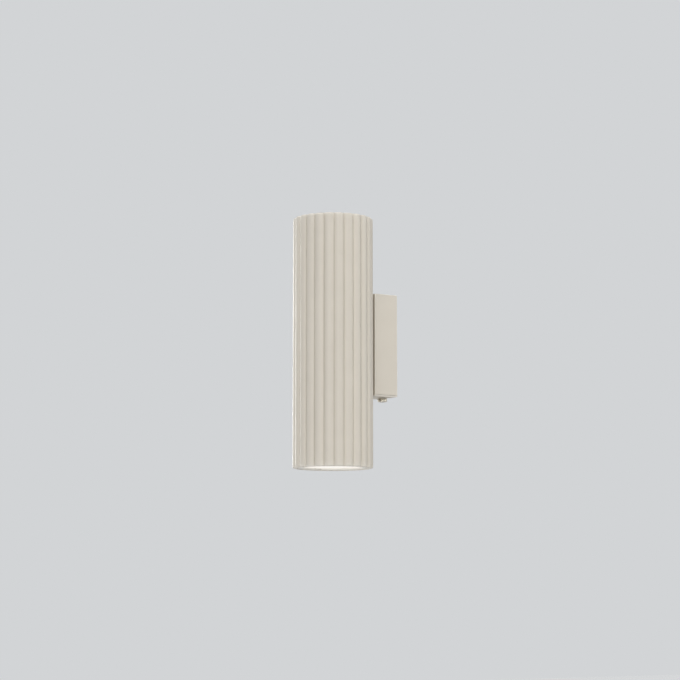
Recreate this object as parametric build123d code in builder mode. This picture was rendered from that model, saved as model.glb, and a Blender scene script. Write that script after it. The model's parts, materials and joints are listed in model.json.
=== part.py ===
from build123d import *
import os
from math import cos, pi, radians, sin, sqrt

# A reeded tube light that stands off the wall on a folded box and shines up and down.
# Origin: centre of the wall plate's back, on the wall. +Y into the wall, +Z up the tube.
os.makedirs("parts", exist_ok=True)

# ---------------------------------------------------------------- sizes in mm
# reeded tube
TUBE_LENGTH = 250.0
TUBE_RADIUS = 40.0  # over the crests of the ribs
RIB_COUNT = 24
RIB_DEPTH = 2.2
VALLEY_ROUND = 0.6
RIM_ROUND = 2.0
RIM_CLEAR = 0.2  # the round ends this far outside the crests
TUBE_WALL = 3.2  # under the valleys
MOUTH_STEP = 1.0  # the mouth past the bore
MOUTH_DEPTH = 9.0
AXIS_TO_WALL = 67.0

# folded cover box between the tube and the wall
COVER_WIDTH = 32.0
COVER_TOP = 51.2
COVER_BOTTOM = -52.0
COVER_SHEET = 1.2
COVER_BEND = 1.0
COVER_REAR_ROUND = 0.8
COVER_SEAM = 0.3

# wall plate
PLATE_SHEET = 1.5
LUG_WIDTH = 20.0
TOP_LUG_LENGTH = 13.0
BOTTOM_LUG_LENGTH = 15.0
FIXING_SLOT_RADIUS = 2.25
FIXING_SLOT_LENGTH = 9.0
FIXING_SPACING = 72.0
CABLE_Z = -14.0
CABLE_RADIUS = 4.0
GROMMET_WALL = 2.0
GROMMET_FLANGE = 2.2
GROMMET_FLANGE_THICK = 1.8
EARTH_STUD_Z = 12.0
STUD_HEAD_RADIUS = 3.2

# screws: metric shank radii and their heads
M4_RADIUS = 2.0
M4_HEAD_RADIUS = 3.9
M4_HEAD_HEIGHT = 2.4
M4_NUT_RADIUS = 4.0
M4_NUT_HEIGHT = 3.0
M3_RADIUS = 1.5
M3_HEAD_RADIUS = 2.8
M3_HEAD_HEIGHT = 2.2
M3_NUT_RADIUS = 3.1
M3_NUT_HEIGHT = 2.4
DRIVE_WIDTH = 1.0
DRIVE_LENGTH = 5.5
DRIVE_DEPTH = 1.1
SCREW_HOLE_ROOM = 0.3  # round a shank in a plain hole
THREAD_ROOM = 0.05  # round a shank in a threaded hole
WASHER_THICK = 0.8
WASHER_RIM = 0.5  # a washer past its screw's head

# knurled cover screw under the box
COVER_SCREW_TO_WALL = 8.4
COVER_SCREW_HEAD_RADIUS = 4.8
COVER_SCREW_HEAD_HEIGHT = 3.2
COVER_SCREW_ROUND = 1.3
COVER_SCREW_WASHER_THICK = 0.7
COVER_SCREW_TIP_PAST_NUT = 1.0
KNURL_COUNT = 24
KNURL_RADIUS = 0.35

# screws that hold the tube to the box
TUBE_SCREW_Z = 37.0
TUBE_SCREW_TIP_PAST_NUT = 1.0

# bush that takes the leads from the tube into the box
BUSH_BORE_RADIUS = 4.2
BUSH_WALL = 1.8
BUSH_FLANGE = 2.0
BUSH_FLANGE_THICK = 1.2
BUSH_PAST_FRAME = 1.0

# lamp frame inside the tube
FRAME_WIDTH = 24.0
FRAME_SHEET = 1.5
FRAME_BEND = 2.0
FRAME_TAB_PAST_AXIS = 18.0

# screw-in ring, glass and gasket at each mouth; depths run inwards from the tube's end
RING_RECESS = 0.5
RING_HEIGHT = 8.1
RING_LIP = 1.4
RING_WALL = 3.0
RING_LIP_OVER_GLASS = 2.0
NOTCH_COUNT = 3
NOTCH_ANGLE = 58.0
NOTCH_LENGTH = 8.0
NOTCH_INTO_RING = 2.4
NOTCH_DEPTH = 1.0
GLASS_THICK = 4.0
GASKET_WIDTH = 2.1
GASKET_THICK = 2.0
SEAL_RADIUS = 0.75
SEAL_TO_MOUTH = 0.05
GROOVE_ROOM = 0.12
SEAL_DEPTH = 5.3

# reflector lamp with a twist-and-lock pin base
LAMP_DEPTH = 12.0
LAMP_RADIUS = 25.0
LAMP_RIM_HEIGHT = 7.0
LAMP_LENS_RADIUS = 23.2
LAMP_LENS_THICK = 1.8
LAMP_LENS_RECESS = 0.2
LAMP_WAIST_RADIUS = 13.5
LAMP_WAIST_HEIGHT = 38.0
LAMP_BODY_HEIGHT = 45.0
LAMP_BASE_RADIUS = 11.0
LAMP_BASE_HEIGHT = 4.7
PIN_SPACING = 10.0
PIN_NECK_RADIUS = 1.6
PIN_NECK_HEIGHT = 3.5
PIN_HEAD_RADIUS = 2.4
PIN_HEAD_HEIGHT = 4.0
LAMP_TWIST = 18.0

# lamp holder
HOLDER_LENGTH = 34.0
HOLDER_WIDTH = 20.0
HOLDER_HEIGHT = 15.0
HOLDER_CORNER = 3.0
HOLDER_FACE_THICK = 2.6
HOLDER_SCREW_SPACING = 26.4
PIN_ROOM = 0.4
CONTACT_THICK = 1.0
CONTACT_LENGTH = 4.6

# terminal block on the inside of the box
BLOCK_Z = 20.3
BLOCK_WIDTH = 17.0
BLOCK_HEIGHT = 13.0
POLE_COUNT = 3
POLE_PITCH = 8.0
POLE_HEIGHT = 5.6  # pole axis above the box's inner face
CLAMP_RADIUS = 2.6
CLAMP_BORE_RADIUS = 1.7
CLAMP_LENGTH = 14.0
CLAMP_SCREW_SPACING = 8.6
CLAMP_SCREW_RADIUS = 1.3
CLAMP_SCREW_HEAD_RADIUS = 1.8
CLAMP_SCREW_RECESS = 1.4
BLOCK_SCREW_RADIUS = 1.1
BLOCK_SCREW_HEAD_RADIUS = 2.0
BLOCK_SCREW_HEAD_HEIGHT = 1.6

# leads
LEAD_RADIUS = 0.75
LEAD_BEND = 2.2  # in the box
LEAD_LARGEST_BEND = 9.0  # in the tube
LEAD_COLUMN_PITCH = 1.7
LEAD_BEFORE_BUSH = 9.0
NEAR_LEAD_DROP = 22.0  # height at which a lead leaves its holder's line for the bush
FAR_LEAD_DROP = 16.0
BEND_SHARE = 0.45  # of the shorter run beside a bend that the bend may use
UPPER_LIVE_IN_BUSH = (-1.2, 2.6)
UPPER_NEUTRAL_IN_BUSH = (-2.6, 0.6)
LOWER_NEUTRAL_IN_BUSH = (1.3, 0.9)
LOWER_LIVE_IN_BUSH = (1.0, -2.6)
EARTH_IN_BUSH = (-2.0, -1.6)
EARTH_LEAD_STRAIGHT = 3.8  # from the tag, along the frame
EARTH_LEAD_BULGE = 5.4  # away from the frame, halfway to the bush

# general rooms between pieces
RUN_GAP = 0.3  # pieces that move past each other
REST_GAP = 0.05  # pieces that bear on each other along a curve
PRESS_SEAT = 0.2  # round a bush in its hole
LAMP_SEAT_GAP = 0.3

# ---------------------------------------------------------------- places worked out
tube_y = -AXIS_TO_WALL
half_length = TUBE_LENGTH / 2
valley_radius = TUBE_RADIUS - RIB_DEPTH
bore_radius = valley_radius - TUBE_WALL
mouth_radius = bore_radius + MOUTH_STEP
rib_pitch = 360.0 / RIB_COUNT
rib_half_chord = valley_radius * sin(pi / RIB_COUNT)
rib_rise = TUBE_RADIUS - valley_radius * cos(pi / RIB_COUNT)
rib_radius = (rib_half_chord**2 + rib_rise**2) / (2 * rib_rise)
# the box's flat front bears on the two ribs beside the valley that faces the wall
cover_front = tube_y + (TUBE_RADIUS - rib_radius) * cos(pi / RIB_COUNT) + rib_radius + REST_GAP
cover_inner = cover_front + COVER_SHEET
cover_rear = -RUN_GAP
cover_half_inside = COVER_WIDTH / 2 - COVER_SHEET
cover_floor = COVER_BOTTOM + COVER_SHEET
cover_ceiling = COVER_TOP - COVER_SHEET
plate_top = cover_ceiling - RUN_GAP
plate_bottom = cover_floor + RUN_GAP
plate_width = 2 * (cover_half_inside - RUN_GAP)
frame_back = tube_y + sqrt(bore_radius**2 - (FRAME_WIDTH / 2) ** 2) - REST_GAP
frame_inner = frame_back - FRAME_SHEET
bush_radius = BUSH_BORE_RADIUS + BUSH_WALL
glass_depth = RING_RECESS + RING_LIP
gasket_depth = glass_depth + GLASS_THICK
ring_radius = mouth_radius - RUN_GAP
cup_radius = ring_radius - RING_WALL
glass_radius = cup_radius - RUN_GAP
lip_radius = glass_radius - RING_LIP_OVER_GLASS
seal_centre_radius = mouth_radius - SEAL_TO_MOUTH - SEAL_RADIUS
base_depth = LAMP_DEPTH + LAMP_BODY_HEIGHT
pin_depth = base_depth + LAMP_BASE_HEIGHT
holder_depth = pin_depth + LAMP_SEAT_GAP
cavity_depth = holder_depth + HOLDER_FACE_THICK
pin_head_depth = pin_depth + PIN_NECK_HEIGHT
contact_depth = pin_head_depth + PIN_HEAD_HEIGHT + LAMP_SEAT_GAP
cavity_floor = contact_depth + CONTACT_THICK
tab_depth = holder_depth + HOLDER_HEIGHT
tab_z = half_length - tab_depth
tab_tip = tube_y - FRAME_TAB_PAST_AXIS
pole_y = cover_inner + POLE_HEIGHT
block_rear = cover_inner + BLOCK_HEIGHT
pole_z = [BLOCK_Z + (i - (POLE_COUNT - 1) / 2) * POLE_PITCH for i in range(POLE_COUNT)]

tube_axis = Axis((0, tube_y, 0), (0, 0, 1))
ENDS = {"upper": 1, "lower": -1}


def facing_room(y):
    """Upright plane at y: sketch in X and Z, extrude away from the wall."""
    return Plane(origin=(0, y, 0), x_dir=(1, 0, 0), z_dir=(0, -1, 0))


def mouth(side, depth=0.0):
    """Plane across the tube, a depth inwards from one end: extrude goes inwards."""
    return Plane(origin=(0, tube_y, side * (half_length - depth)), x_dir=(1, 0, 0), z_dir=(0, 0, -side))


def turning(side):
    """Plane through the tube's axis: x is the radius, y the depth from one end."""
    return Plane(origin=(0, tube_y, side * half_length), x_dir=(1, 0, 0), z_dir=(0, side, 0))


def write(piece, name):
    piece.part.label = name
    export_step(piece.part, f"parts/{name}.step")


def polar(radius, degrees):
    return (radius * cos(radians(degrees)), radius * sin(radians(degrees)))


# ---------------------------------------------------------------- tube
def rib_point(radius, steps):
    """Point on the tube's section, counted in rib pitches from the valley that faces the wall."""
    return polar(radius, 90 + steps * rib_pitch)


with BuildPart() as tube_shell:
    with BuildSketch(Plane((0, tube_y, -half_length))) as reeded_section:
        with BuildLine():
            for rib in range(RIB_COUNT):
                ThreePointArc(
                    rib_point(valley_radius, rib),
                    rib_point(TUBE_RADIUS, rib + 0.5),
                    rib_point(valley_radius, rib + 1),
                )
        make_face()
        fillet(reeded_section.vertices(), radius=VALLEY_ROUND)
        Circle(bore_radius, mode=Mode.SUBTRACT)
    extrude(amount=TUBE_LENGTH)
    for side in ENDS.values():
        with BuildSketch(mouth(side)):
            Circle(mouth_radius)
        extrude(amount=MOUTH_DEPTH, mode=Mode.SUBTRACT)
        # the crests run out in a round at the rim
        with BuildSketch(turning(side)):
            with BuildLine():
                rim_radius = TUBE_RADIUS - RIM_ROUND
                round_radius = RIM_ROUND + RIM_CLEAR
                CenterArc((rim_radius, round_radius), round_radius, -90, 90)
                Polyline(
                    (rim_radius + round_radius, round_radius),
                    (TUBE_RADIUS + RIM_ROUND, round_radius),
                    (TUBE_RADIUS + RIM_ROUND, -RIM_ROUND),
                    (rim_radius, -RIM_ROUND),
                    (rim_radius, 0),
                )
            make_face()
        revolve(axis=tube_axis, mode=Mode.SUBTRACT)
    with BuildSketch(facing_room(cover_front)):
        with Locations((0, TUBE_SCREW_Z), (0, -TUBE_SCREW_Z)):
            Circle(M4_RADIUS + SCREW_HOLE_ROOM)
        Circle(bush_radius + PRESS_SEAT)
    extrude(amount=AXIS_TO_WALL + cover_front, mode=Mode.SUBTRACT)
write(tube_shell, "tube_shell")

# ---------------------------------------------------------------- cover box
cover_middle = (COVER_TOP + COVER_BOTTOM) / 2
cover_height = COVER_TOP - COVER_BOTTOM
with BuildPart() as bracket_cover:
    with BuildSketch(facing_room(cover_rear)):
        with Locations((0, cover_middle)):
            Rectangle(COVER_WIDTH, cover_height)
    extrude(amount=cover_rear - cover_front)
    front_edges = bracket_cover.faces().sort_by(Axis.Y)[0].edges()
    fillet(front_edges, radius=COVER_BEND)
    rear_edges = bracket_cover.faces().sort_by(Axis.Y)[-1].edges()
    fillet(rear_edges, radius=COVER_REAR_ROUND)
    with BuildSketch(facing_room(cover_rear)):
        with Locations((0, (cover_floor + cover_ceiling) / 2)):
            Rectangle(2 * cover_half_inside, cover_ceiling - cover_floor)
    extrude(amount=cover_rear - cover_inner, mode=Mode.SUBTRACT)
    # open seams where the folded bottom passes under the side walls
    with BuildSketch(facing_room(cover_rear)):
        with Locations((0, cover_floor + COVER_SEAM / 2)):
            Rectangle(COVER_WIDTH + COVER_BEND, COVER_SEAM)
    extrude(amount=cover_rear - cover_inner, mode=Mode.SUBTRACT)
    # slot in the bottom that slides past the cover screw, open towards the wall
    slot_radius = M4_RADIUS + SCREW_HOLE_ROOM
    with BuildSketch(Plane.XY.offset(COVER_BOTTOM)):
        with Locations((0, -COVER_SCREW_TO_WALL)):
            Circle(slot_radius)
        with Locations((0, -COVER_SCREW_TO_WALL / 2)):
            Rectangle(2 * slot_radius, COVER_SCREW_TO_WALL)
    extrude(amount=COVER_SHEET, mode=Mode.SUBTRACT)
    with BuildSketch(facing_room(cover_inner)):
        with Locations((0, TUBE_SCREW_Z), (0, -TUBE_SCREW_Z)):
            Circle(M4_RADIUS + SCREW_HOLE_ROOM)
        Circle(bush_radius + PRESS_SEAT)
        with Locations((0, BLOCK_Z - POLE_PITCH / 2)):
            Circle(BLOCK_SCREW_RADIUS + THREAD_ROOM)
    extrude(amount=COVER_SHEET, mode=Mode.SUBTRACT)
write(bracket_cover, "bracket_cover")

# ---------------------------------------------------------------- wall plate
plate_middle = (plate_top + plate_bottom) / 2
plate_height = plate_top - plate_bottom
grommet_radius = CABLE_RADIUS + GROMMET_WALL
with BuildPart() as wall_plate:
    with BuildSketch(facing_room(0)):
        with Locations((0, plate_middle)):
            Rectangle(plate_width, plate_height)
        with Locations((0, FIXING_SPACING / 2), (0, -FIXING_SPACING / 2)):
            SlotOverall(FIXING_SLOT_LENGTH, 2 * FIXING_SLOT_RADIUS, rotation=90, mode=Mode.SUBTRACT)
        with Locations((0, CABLE_Z)):
            Circle(grommet_radius, mode=Mode.SUBTRACT)
        with Locations((0, EARTH_STUD_Z)):
            Circle(STUD_HEAD_RADIUS, mode=Mode.SUBTRACT)
    extrude(amount=PLATE_SHEET)
    with BuildSketch(Plane.YZ):
        with Locations((-TOP_LUG_LENGTH / 2, plate_top - PLATE_SHEET / 2)):
            Rectangle(TOP_LUG_LENGTH, PLATE_SHEET)
        with Locations((-BOTTOM_LUG_LENGTH / 2, plate_bottom + PLATE_SHEET / 2)):
            Rectangle(BOTTOM_LUG_LENGTH, PLATE_SHEET)
    extrude(amount=LUG_WIDTH / 2, both=True)
    with BuildSketch(Plane.XY.offset(plate_bottom)):
        with Locations((0, -COVER_SCREW_TO_WALL)):
            Circle(M4_RADIUS + SCREW_HOLE_ROOM)
    extrude(amount=PLATE_SHEET, mode=Mode.SUBTRACT)
write(wall_plate, "wall_plate")

with BuildPart() as cable_grommet:
    with BuildSketch(facing_room(0)):
        with Locations((0, CABLE_Z)):
            Circle(grommet_radius)
    extrude(amount=PLATE_SHEET)
    with BuildSketch(facing_room(-PLATE_SHEET)):
        with Locations((0, CABLE_Z)):
            Circle(grommet_radius + GROMMET_FLANGE)
    extrude(amount=GROMMET_FLANGE_THICK)
    fillet(cable_grommet.edges().group_by(Axis.Y)[0], radius=GROMMET_FLANGE_THICK / 3)
    with BuildSketch(facing_room(0)):
        with Locations((0, CABLE_Z)):
            Circle(CABLE_RADIUS)
    extrude(amount=PLATE_SHEET + GROMMET_FLANGE_THICK, mode=Mode.SUBTRACT)
write(cable_grommet, "cable_grommet")

stud_washer_y = -PLATE_SHEET
stud_nut_y = stud_washer_y - WASHER_THICK
stud_tip_y = stud_nut_y - M4_NUT_HEIGHT - M4_RADIUS
with BuildPart() as earth_stud:
    with BuildSketch(facing_room(0)):
        with Locations((0, EARTH_STUD_Z)):
            Circle(STUD_HEAD_RADIUS)
    extrude(amount=PLATE_SHEET)
    with BuildSketch(facing_room(-PLATE_SHEET)):
        with Locations((0, EARTH_STUD_Z)):
            Circle(M4_RADIUS)
    extrude(amount=-PLATE_SHEET - stud_tip_y)
    chamfer(earth_stud.edges().group_by(Axis.Y)[0], length=M4_RADIUS / 4)
write(earth_stud, "earth_stud")

with BuildPart() as earth_stud_washer:
    with BuildSketch(facing_room(stud_washer_y)):
        with Locations((0, EARTH_STUD_Z)):
            Circle(M4_HEAD_RADIUS + WASHER_RIM)
            Circle(M4_RADIUS + SCREW_HOLE_ROOM, mode=Mode.SUBTRACT)
    extrude(amount=WASHER_THICK)
write(earth_stud_washer, "earth_stud_washer")

with BuildPart() as earth_stud_nut:
    with BuildSketch(facing_room(stud_nut_y)):
        with Locations((0, EARTH_STUD_Z)):
            RegularPolygon(M4_NUT_RADIUS, 6)
            Circle(M4_RADIUS + THREAD_ROOM, mode=Mode.SUBTRACT)
    extrude(amount=M4_NUT_HEIGHT)
write(earth_stud_nut, "earth_stud_nut")

lug_top = plate_bottom + PLATE_SHEET
with BuildPart() as lug_nut:
    with BuildSketch(Plane.XY.offset(lug_top)):
        with Locations((0, -COVER_SCREW_TO_WALL)):
            RegularPolygon(M4_NUT_RADIUS, 6)
            Circle(M4_RADIUS + THREAD_ROOM, mode=Mode.SUBTRACT)
    extrude(amount=M4_NUT_HEIGHT)
write(lug_nut, "lug_nut")

# ---------------------------------------------------------------- cover screw
screw_washer_top = COVER_BOTTOM - RUN_GAP
screw_head_top = screw_washer_top - COVER_SCREW_WASHER_THICK
screw_head_low = screw_head_top - COVER_SCREW_HEAD_HEIGHT
screw_tip = lug_top + M4_NUT_HEIGHT + COVER_SCREW_TIP_PAST_NUT
with BuildPart() as cover_screw_washer:
    with BuildSketch(Plane.XY.offset(screw_head_top)):
        with Locations((0, -COVER_SCREW_TO_WALL)):
            Circle(COVER_SCREW_HEAD_RADIUS - WASHER_RIM)
            Circle(M4_RADIUS + SCREW_HOLE_ROOM, mode=Mode.SUBTRACT)
    extrude(amount=COVER_SCREW_WASHER_THICK)
write(cover_screw_washer, "cover_screw_washer")

with BuildPart() as cover_screw:
    with BuildSketch(Plane.XY.offset(screw_head_low)):
        with Locations((0, -COVER_SCREW_TO_WALL)):
            Circle(COVER_SCREW_HEAD_RADIUS)
    extrude(amount=COVER_SCREW_HEAD_HEIGHT)
    fillet(cover_screw.edges().group_by(Axis.Z)[0], radius=COVER_SCREW_ROUND)
    with BuildSketch(Plane.XY.offset(screw_head_low)):
        with Locations((0, -COVER_SCREW_TO_WALL)):
            with PolarLocations(COVER_SCREW_HEAD_RADIUS, KNURL_COUNT):
                Circle(KNURL_RADIUS)
    extrude(amount=COVER_SCREW_HEAD_HEIGHT, mode=Mode.SUBTRACT)
    with BuildSketch(Plane.XY.offset(screw_head_top)):
        with Locations((0, -COVER_SCREW_TO_WALL)):
            Circle(M4_RADIUS)
    extrude(amount=screw_tip - screw_head_top)
    chamfer(cover_screw.edges().group_by(Axis.Z)[-1], length=M4_RADIUS / 4)
    with BuildSketch(Plane.XY.offset(screw_head_low)):
        with Locations((0, -COVER_SCREW_TO_WALL)):
            Rectangle(2 * (COVER_SCREW_HEAD_RADIUS - COVER_SCREW_ROUND), DRIVE_WIDTH)
    extrude(amount=DRIVE_DEPTH, mode=Mode.SUBTRACT)
write(cover_screw, "cover_screw")

# ---------------------------------------------------------------- lamp frame and its fixings
frame_middle = FRAME_SHEET / 2
with BuildPart() as lamp_frame:
    with BuildSketch(Plane.YZ):
        with BuildLine():
            FilletPolyline(
                (tab_tip, tab_z - frame_middle),
                (frame_back - frame_middle, tab_z - frame_middle),
                (frame_back - frame_middle, frame_middle - tab_z),
                (tab_tip, frame_middle - tab_z),
                radius=FRAME_BEND,
            )
        trace(line_width=FRAME_SHEET)
    extrude(amount=FRAME_WIDTH / 2, both=True)
    with BuildSketch(facing_room(frame_back)):
        with Locations((0, TUBE_SCREW_Z), (0, -TUBE_SCREW_Z)):
            Circle(M4_RADIUS + SCREW_HOLE_ROOM)
        Circle(bush_radius + PRESS_SEAT)
        with Locations((0, -TUBE_SCREW_Z / 2)):
            Circle(M4_RADIUS + THREAD_ROOM)
    extrude(amount=FRAME_SHEET, mode=Mode.SUBTRACT)
    for side in ENDS.values():
        with BuildSketch(mouth(side, tab_depth)):
            with Locations((0, HOLDER_SCREW_SPACING / 2), (0, -HOLDER_SCREW_SPACING / 2)):
                Circle(M3_RADIUS + SCREW_HOLE_ROOM)
            with Locations((0, PIN_SPACING / 2), (0, -PIN_SPACING / 2)):
                Circle(2 * LEAD_RADIUS)
        extrude(amount=FRAME_SHEET, mode=Mode.SUBTRACT)
write(lamp_frame, "lamp_frame")

tube_screw_seat = cover_inner + WASHER_THICK
tube_nut_y = frame_inner
with BuildPart() as tube_screw_washers:
    with BuildSketch(facing_room(tube_screw_seat)):
        with Locations((0, TUBE_SCREW_Z), (0, -TUBE_SCREW_Z)):
            Circle(M4_HEAD_RADIUS + WASHER_RIM)
            Circle(M4_RADIUS + SCREW_HOLE_ROOM, mode=Mode.SUBTRACT)
    extrude(amount=WASHER_THICK)
write(tube_screw_washers, "tube_screw_washers")

with BuildPart() as tube_screws:
    with BuildSketch(facing_room(tube_screw_seat + M4_HEAD_HEIGHT)):
        with Locations((0, TUBE_SCREW_Z), (0, -TUBE_SCREW_Z)):
            Circle(M4_HEAD_RADIUS)
    extrude(amount=M4_HEAD_HEIGHT)
    fillet(tube_screws.edges().group_by(Axis.Y)[-1], radius=M4_HEAD_HEIGHT / 3)
    with BuildSketch(facing_room(tube_screw_seat)):
        with Locations((0, TUBE_SCREW_Z), (0, -TUBE_SCREW_Z)):
            Circle(M4_RADIUS)
    extrude(amount=tube_screw_seat - tube_nut_y + M4_NUT_HEIGHT + TUBE_SCREW_TIP_PAST_NUT)
    with BuildSketch(facing_room(tube_screw_seat + M4_HEAD_HEIGHT)):
        with Locations((0, TUBE_SCREW_Z), (0, -TUBE_SCREW_Z)):
            Rectangle(DRIVE_LENGTH, DRIVE_WIDTH)
            Rectangle(DRIVE_WIDTH, DRIVE_LENGTH)
    extrude(amount=DRIVE_DEPTH, mode=Mode.SUBTRACT)
write(tube_screws, "tube_screws")

with BuildPart() as tube_nuts:
    with BuildSketch(facing_room(tube_nut_y)):
        with Locations((0, TUBE_SCREW_Z), (0, -TUBE_SCREW_Z)):
            RegularPolygon(M4_NUT_RADIUS, 6)
            Circle(M4_RADIUS + THREAD_ROOM, mode=Mode.SUBTRACT)
    extrude(amount=M4_NUT_HEIGHT)
write(tube_nuts, "tube_nuts")

frame_earth_z = -TUBE_SCREW_Z / 2
with BuildPart() as frame_earth_tag:
    with BuildSketch(facing_room(frame_inner)):
        with Locations((0, frame_earth_z)):
            Circle(M4_HEAD_RADIUS + WASHER_RIM)
            Circle(M4_RADIUS + SCREW_HOLE_ROOM, mode=Mode.SUBTRACT)
        with Locations((-M4_HEAD_RADIUS - LEAD_RADIUS * 2, frame_earth_z)):
            Rectangle(LEAD_RADIUS * 6, LEAD_RADIUS * 4)
    extrude(amount=WASHER_THICK)
write(frame_earth_tag, "frame_earth_tag")

with BuildPart() as frame_earth_screw:
    with BuildSketch(facing_room(frame_back)):
        with Locations((0, frame_earth_z)):
            Circle(M4_RADIUS)
    extrude(amount=FRAME_SHEET + WASHER_THICK)
    with BuildSketch(facing_room(frame_inner - WASHER_THICK)):
        with Locations((0, frame_earth_z)):
            Circle(M4_HEAD_RADIUS)
    extrude(amount=M4_HEAD_HEIGHT)
    fillet(frame_earth_screw.edges().group_by(Axis.Y)[0], radius=M4_HEAD_HEIGHT / 3)
    with BuildSketch(facing_room(frame_inner - WASHER_THICK - M4_HEAD_HEIGHT)):
        with Locations((0, frame_earth_z)):
            Rectangle(DRIVE_LENGTH, DRIVE_WIDTH)
    extrude(amount=-DRIVE_DEPTH, mode=Mode.SUBTRACT)
write(frame_earth_screw, "frame_earth_screw")

with BuildPart() as wire_bush:
    with BuildSketch(facing_room(cover_inner + BUSH_FLANGE_THICK)):
        Circle(bush_radius + BUSH_FLANGE)
    extrude(amount=BUSH_FLANGE_THICK)
    with BuildSketch(facing_room(cover_inner)):
        Circle(bush_radius)
    extrude(amount=cover_inner - frame_inner + BUSH_PAST_FRAME)
    with BuildSketch(facing_room(cover_inner + BUSH_FLANGE_THICK)):
        Circle(BUSH_BORE_RADIUS)
    extrude(amount=BUSH_FLANGE_THICK + cover_inner - frame_inner + BUSH_PAST_FRAME, mode=Mode.SUBTRACT)
write(wire_bush, "wire_bush")

# ---------------------------------------------------------------- terminal block
block_length = POLE_COUNT * POLE_PITCH
block_screw_z = BLOCK_Z - POLE_PITCH / 2
clamp_screw_places = [(x, z) for z in pole_z for x in (-CLAMP_SCREW_SPACING / 2, CLAMP_SCREW_SPACING / 2)]
with BuildPart() as terminal_block:
    with BuildSketch(facing_room(block_rear)):
        with Locations((0, BLOCK_Z)):
            RectangleRounded(BLOCK_WIDTH, block_length, COVER_SHEET)
    extrude(amount=BLOCK_HEIGHT)
    with BuildSketch(Plane.YZ):
        with Locations(*[(pole_y, z) for z in pole_z]):
            Circle(CLAMP_RADIUS + REST_GAP)
    extrude(amount=BLOCK_WIDTH, both=True, mode=Mode.SUBTRACT)
    with BuildSketch(facing_room(block_rear)):
        with Locations(*clamp_screw_places):
            Circle(CLAMP_SCREW_HEAD_RADIUS + REST_GAP)
    extrude(amount=block_rear - pole_y, mode=Mode.SUBTRACT)
    with BuildSketch(facing_room(block_rear)):
        with Locations((0, block_screw_z)):
            Circle(BLOCK_SCREW_RADIUS + REST_GAP)
    extrude(amount=BLOCK_HEIGHT, mode=Mode.SUBTRACT)
write(terminal_block, "terminal_block")

with BuildPart() as terminal_clamps:
    with BuildSketch(Plane.YZ):
        with Locations(*[(pole_y, z) for z in pole_z]):
            Circle(CLAMP_RADIUS)
            Circle(CLAMP_BORE_RADIUS, mode=Mode.SUBTRACT)
    extrude(amount=CLAMP_LENGTH / 2, both=True)
    with BuildSketch(facing_room(block_rear)):
        with Locations(*clamp_screw_places):
            Circle(CLAMP_SCREW_RADIUS + THREAD_ROOM)
    extrude(amount=block_rear - pole_y, mode=Mode.SUBTRACT)
write(terminal_clamps, "terminal_clamps")

clamp_screw_top = block_rear - CLAMP_SCREW_RECESS
clamp_screw_step = pole_y + CLAMP_RADIUS + REST_GAP
with BuildPart() as terminal_screws:
    with BuildSketch(facing_room(clamp_screw_top)):
        with Locations(*clamp_screw_places):
            Circle(CLAMP_SCREW_HEAD_RADIUS)
    extrude(amount=clamp_screw_top - clamp_screw_step)
    with BuildSketch(facing_room(clamp_screw_step)):
        with Locations(*clamp_screw_places):
            Circle(CLAMP_SCREW_RADIUS)
    extrude(amount=clamp_screw_step - pole_y - CLAMP_BORE_RADIUS)
    with BuildSketch(facing_room(clamp_screw_top)):
        with Locations(*clamp_screw_places):
            Rectangle(2 * CLAMP_SCREW_HEAD_RADIUS, DRIVE_WIDTH / 2)
    extrude(amount=DRIVE_DEPTH, mode=Mode.SUBTRACT)
write(terminal_screws, "terminal_screws")

with BuildPart() as block_screw:
    with BuildSketch(facing_room(block_rear + BLOCK_SCREW_HEAD_HEIGHT)):
        with Locations((0, block_screw_z)):
            Circle(BLOCK_SCREW_HEAD_RADIUS)
    extrude(amount=BLOCK_SCREW_HEAD_HEIGHT)
    with BuildSketch(facing_room(block_rear)):
        with Locations((0, block_screw_z)):
            Circle(BLOCK_SCREW_RADIUS)
    extrude(amount=BLOCK_HEIGHT + COVER_SHEET)
    with BuildSketch(facing_room(block_rear + BLOCK_SCREW_HEAD_HEIGHT)):
        with Locations((0, block_screw_z)):
            Rectangle(2 * BLOCK_SCREW_HEAD_RADIUS, DRIVE_WIDTH / 2)
    extrude(amount=DRIVE_DEPTH, mode=Mode.SUBTRACT)
write(block_screw, "block_screw")

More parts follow.
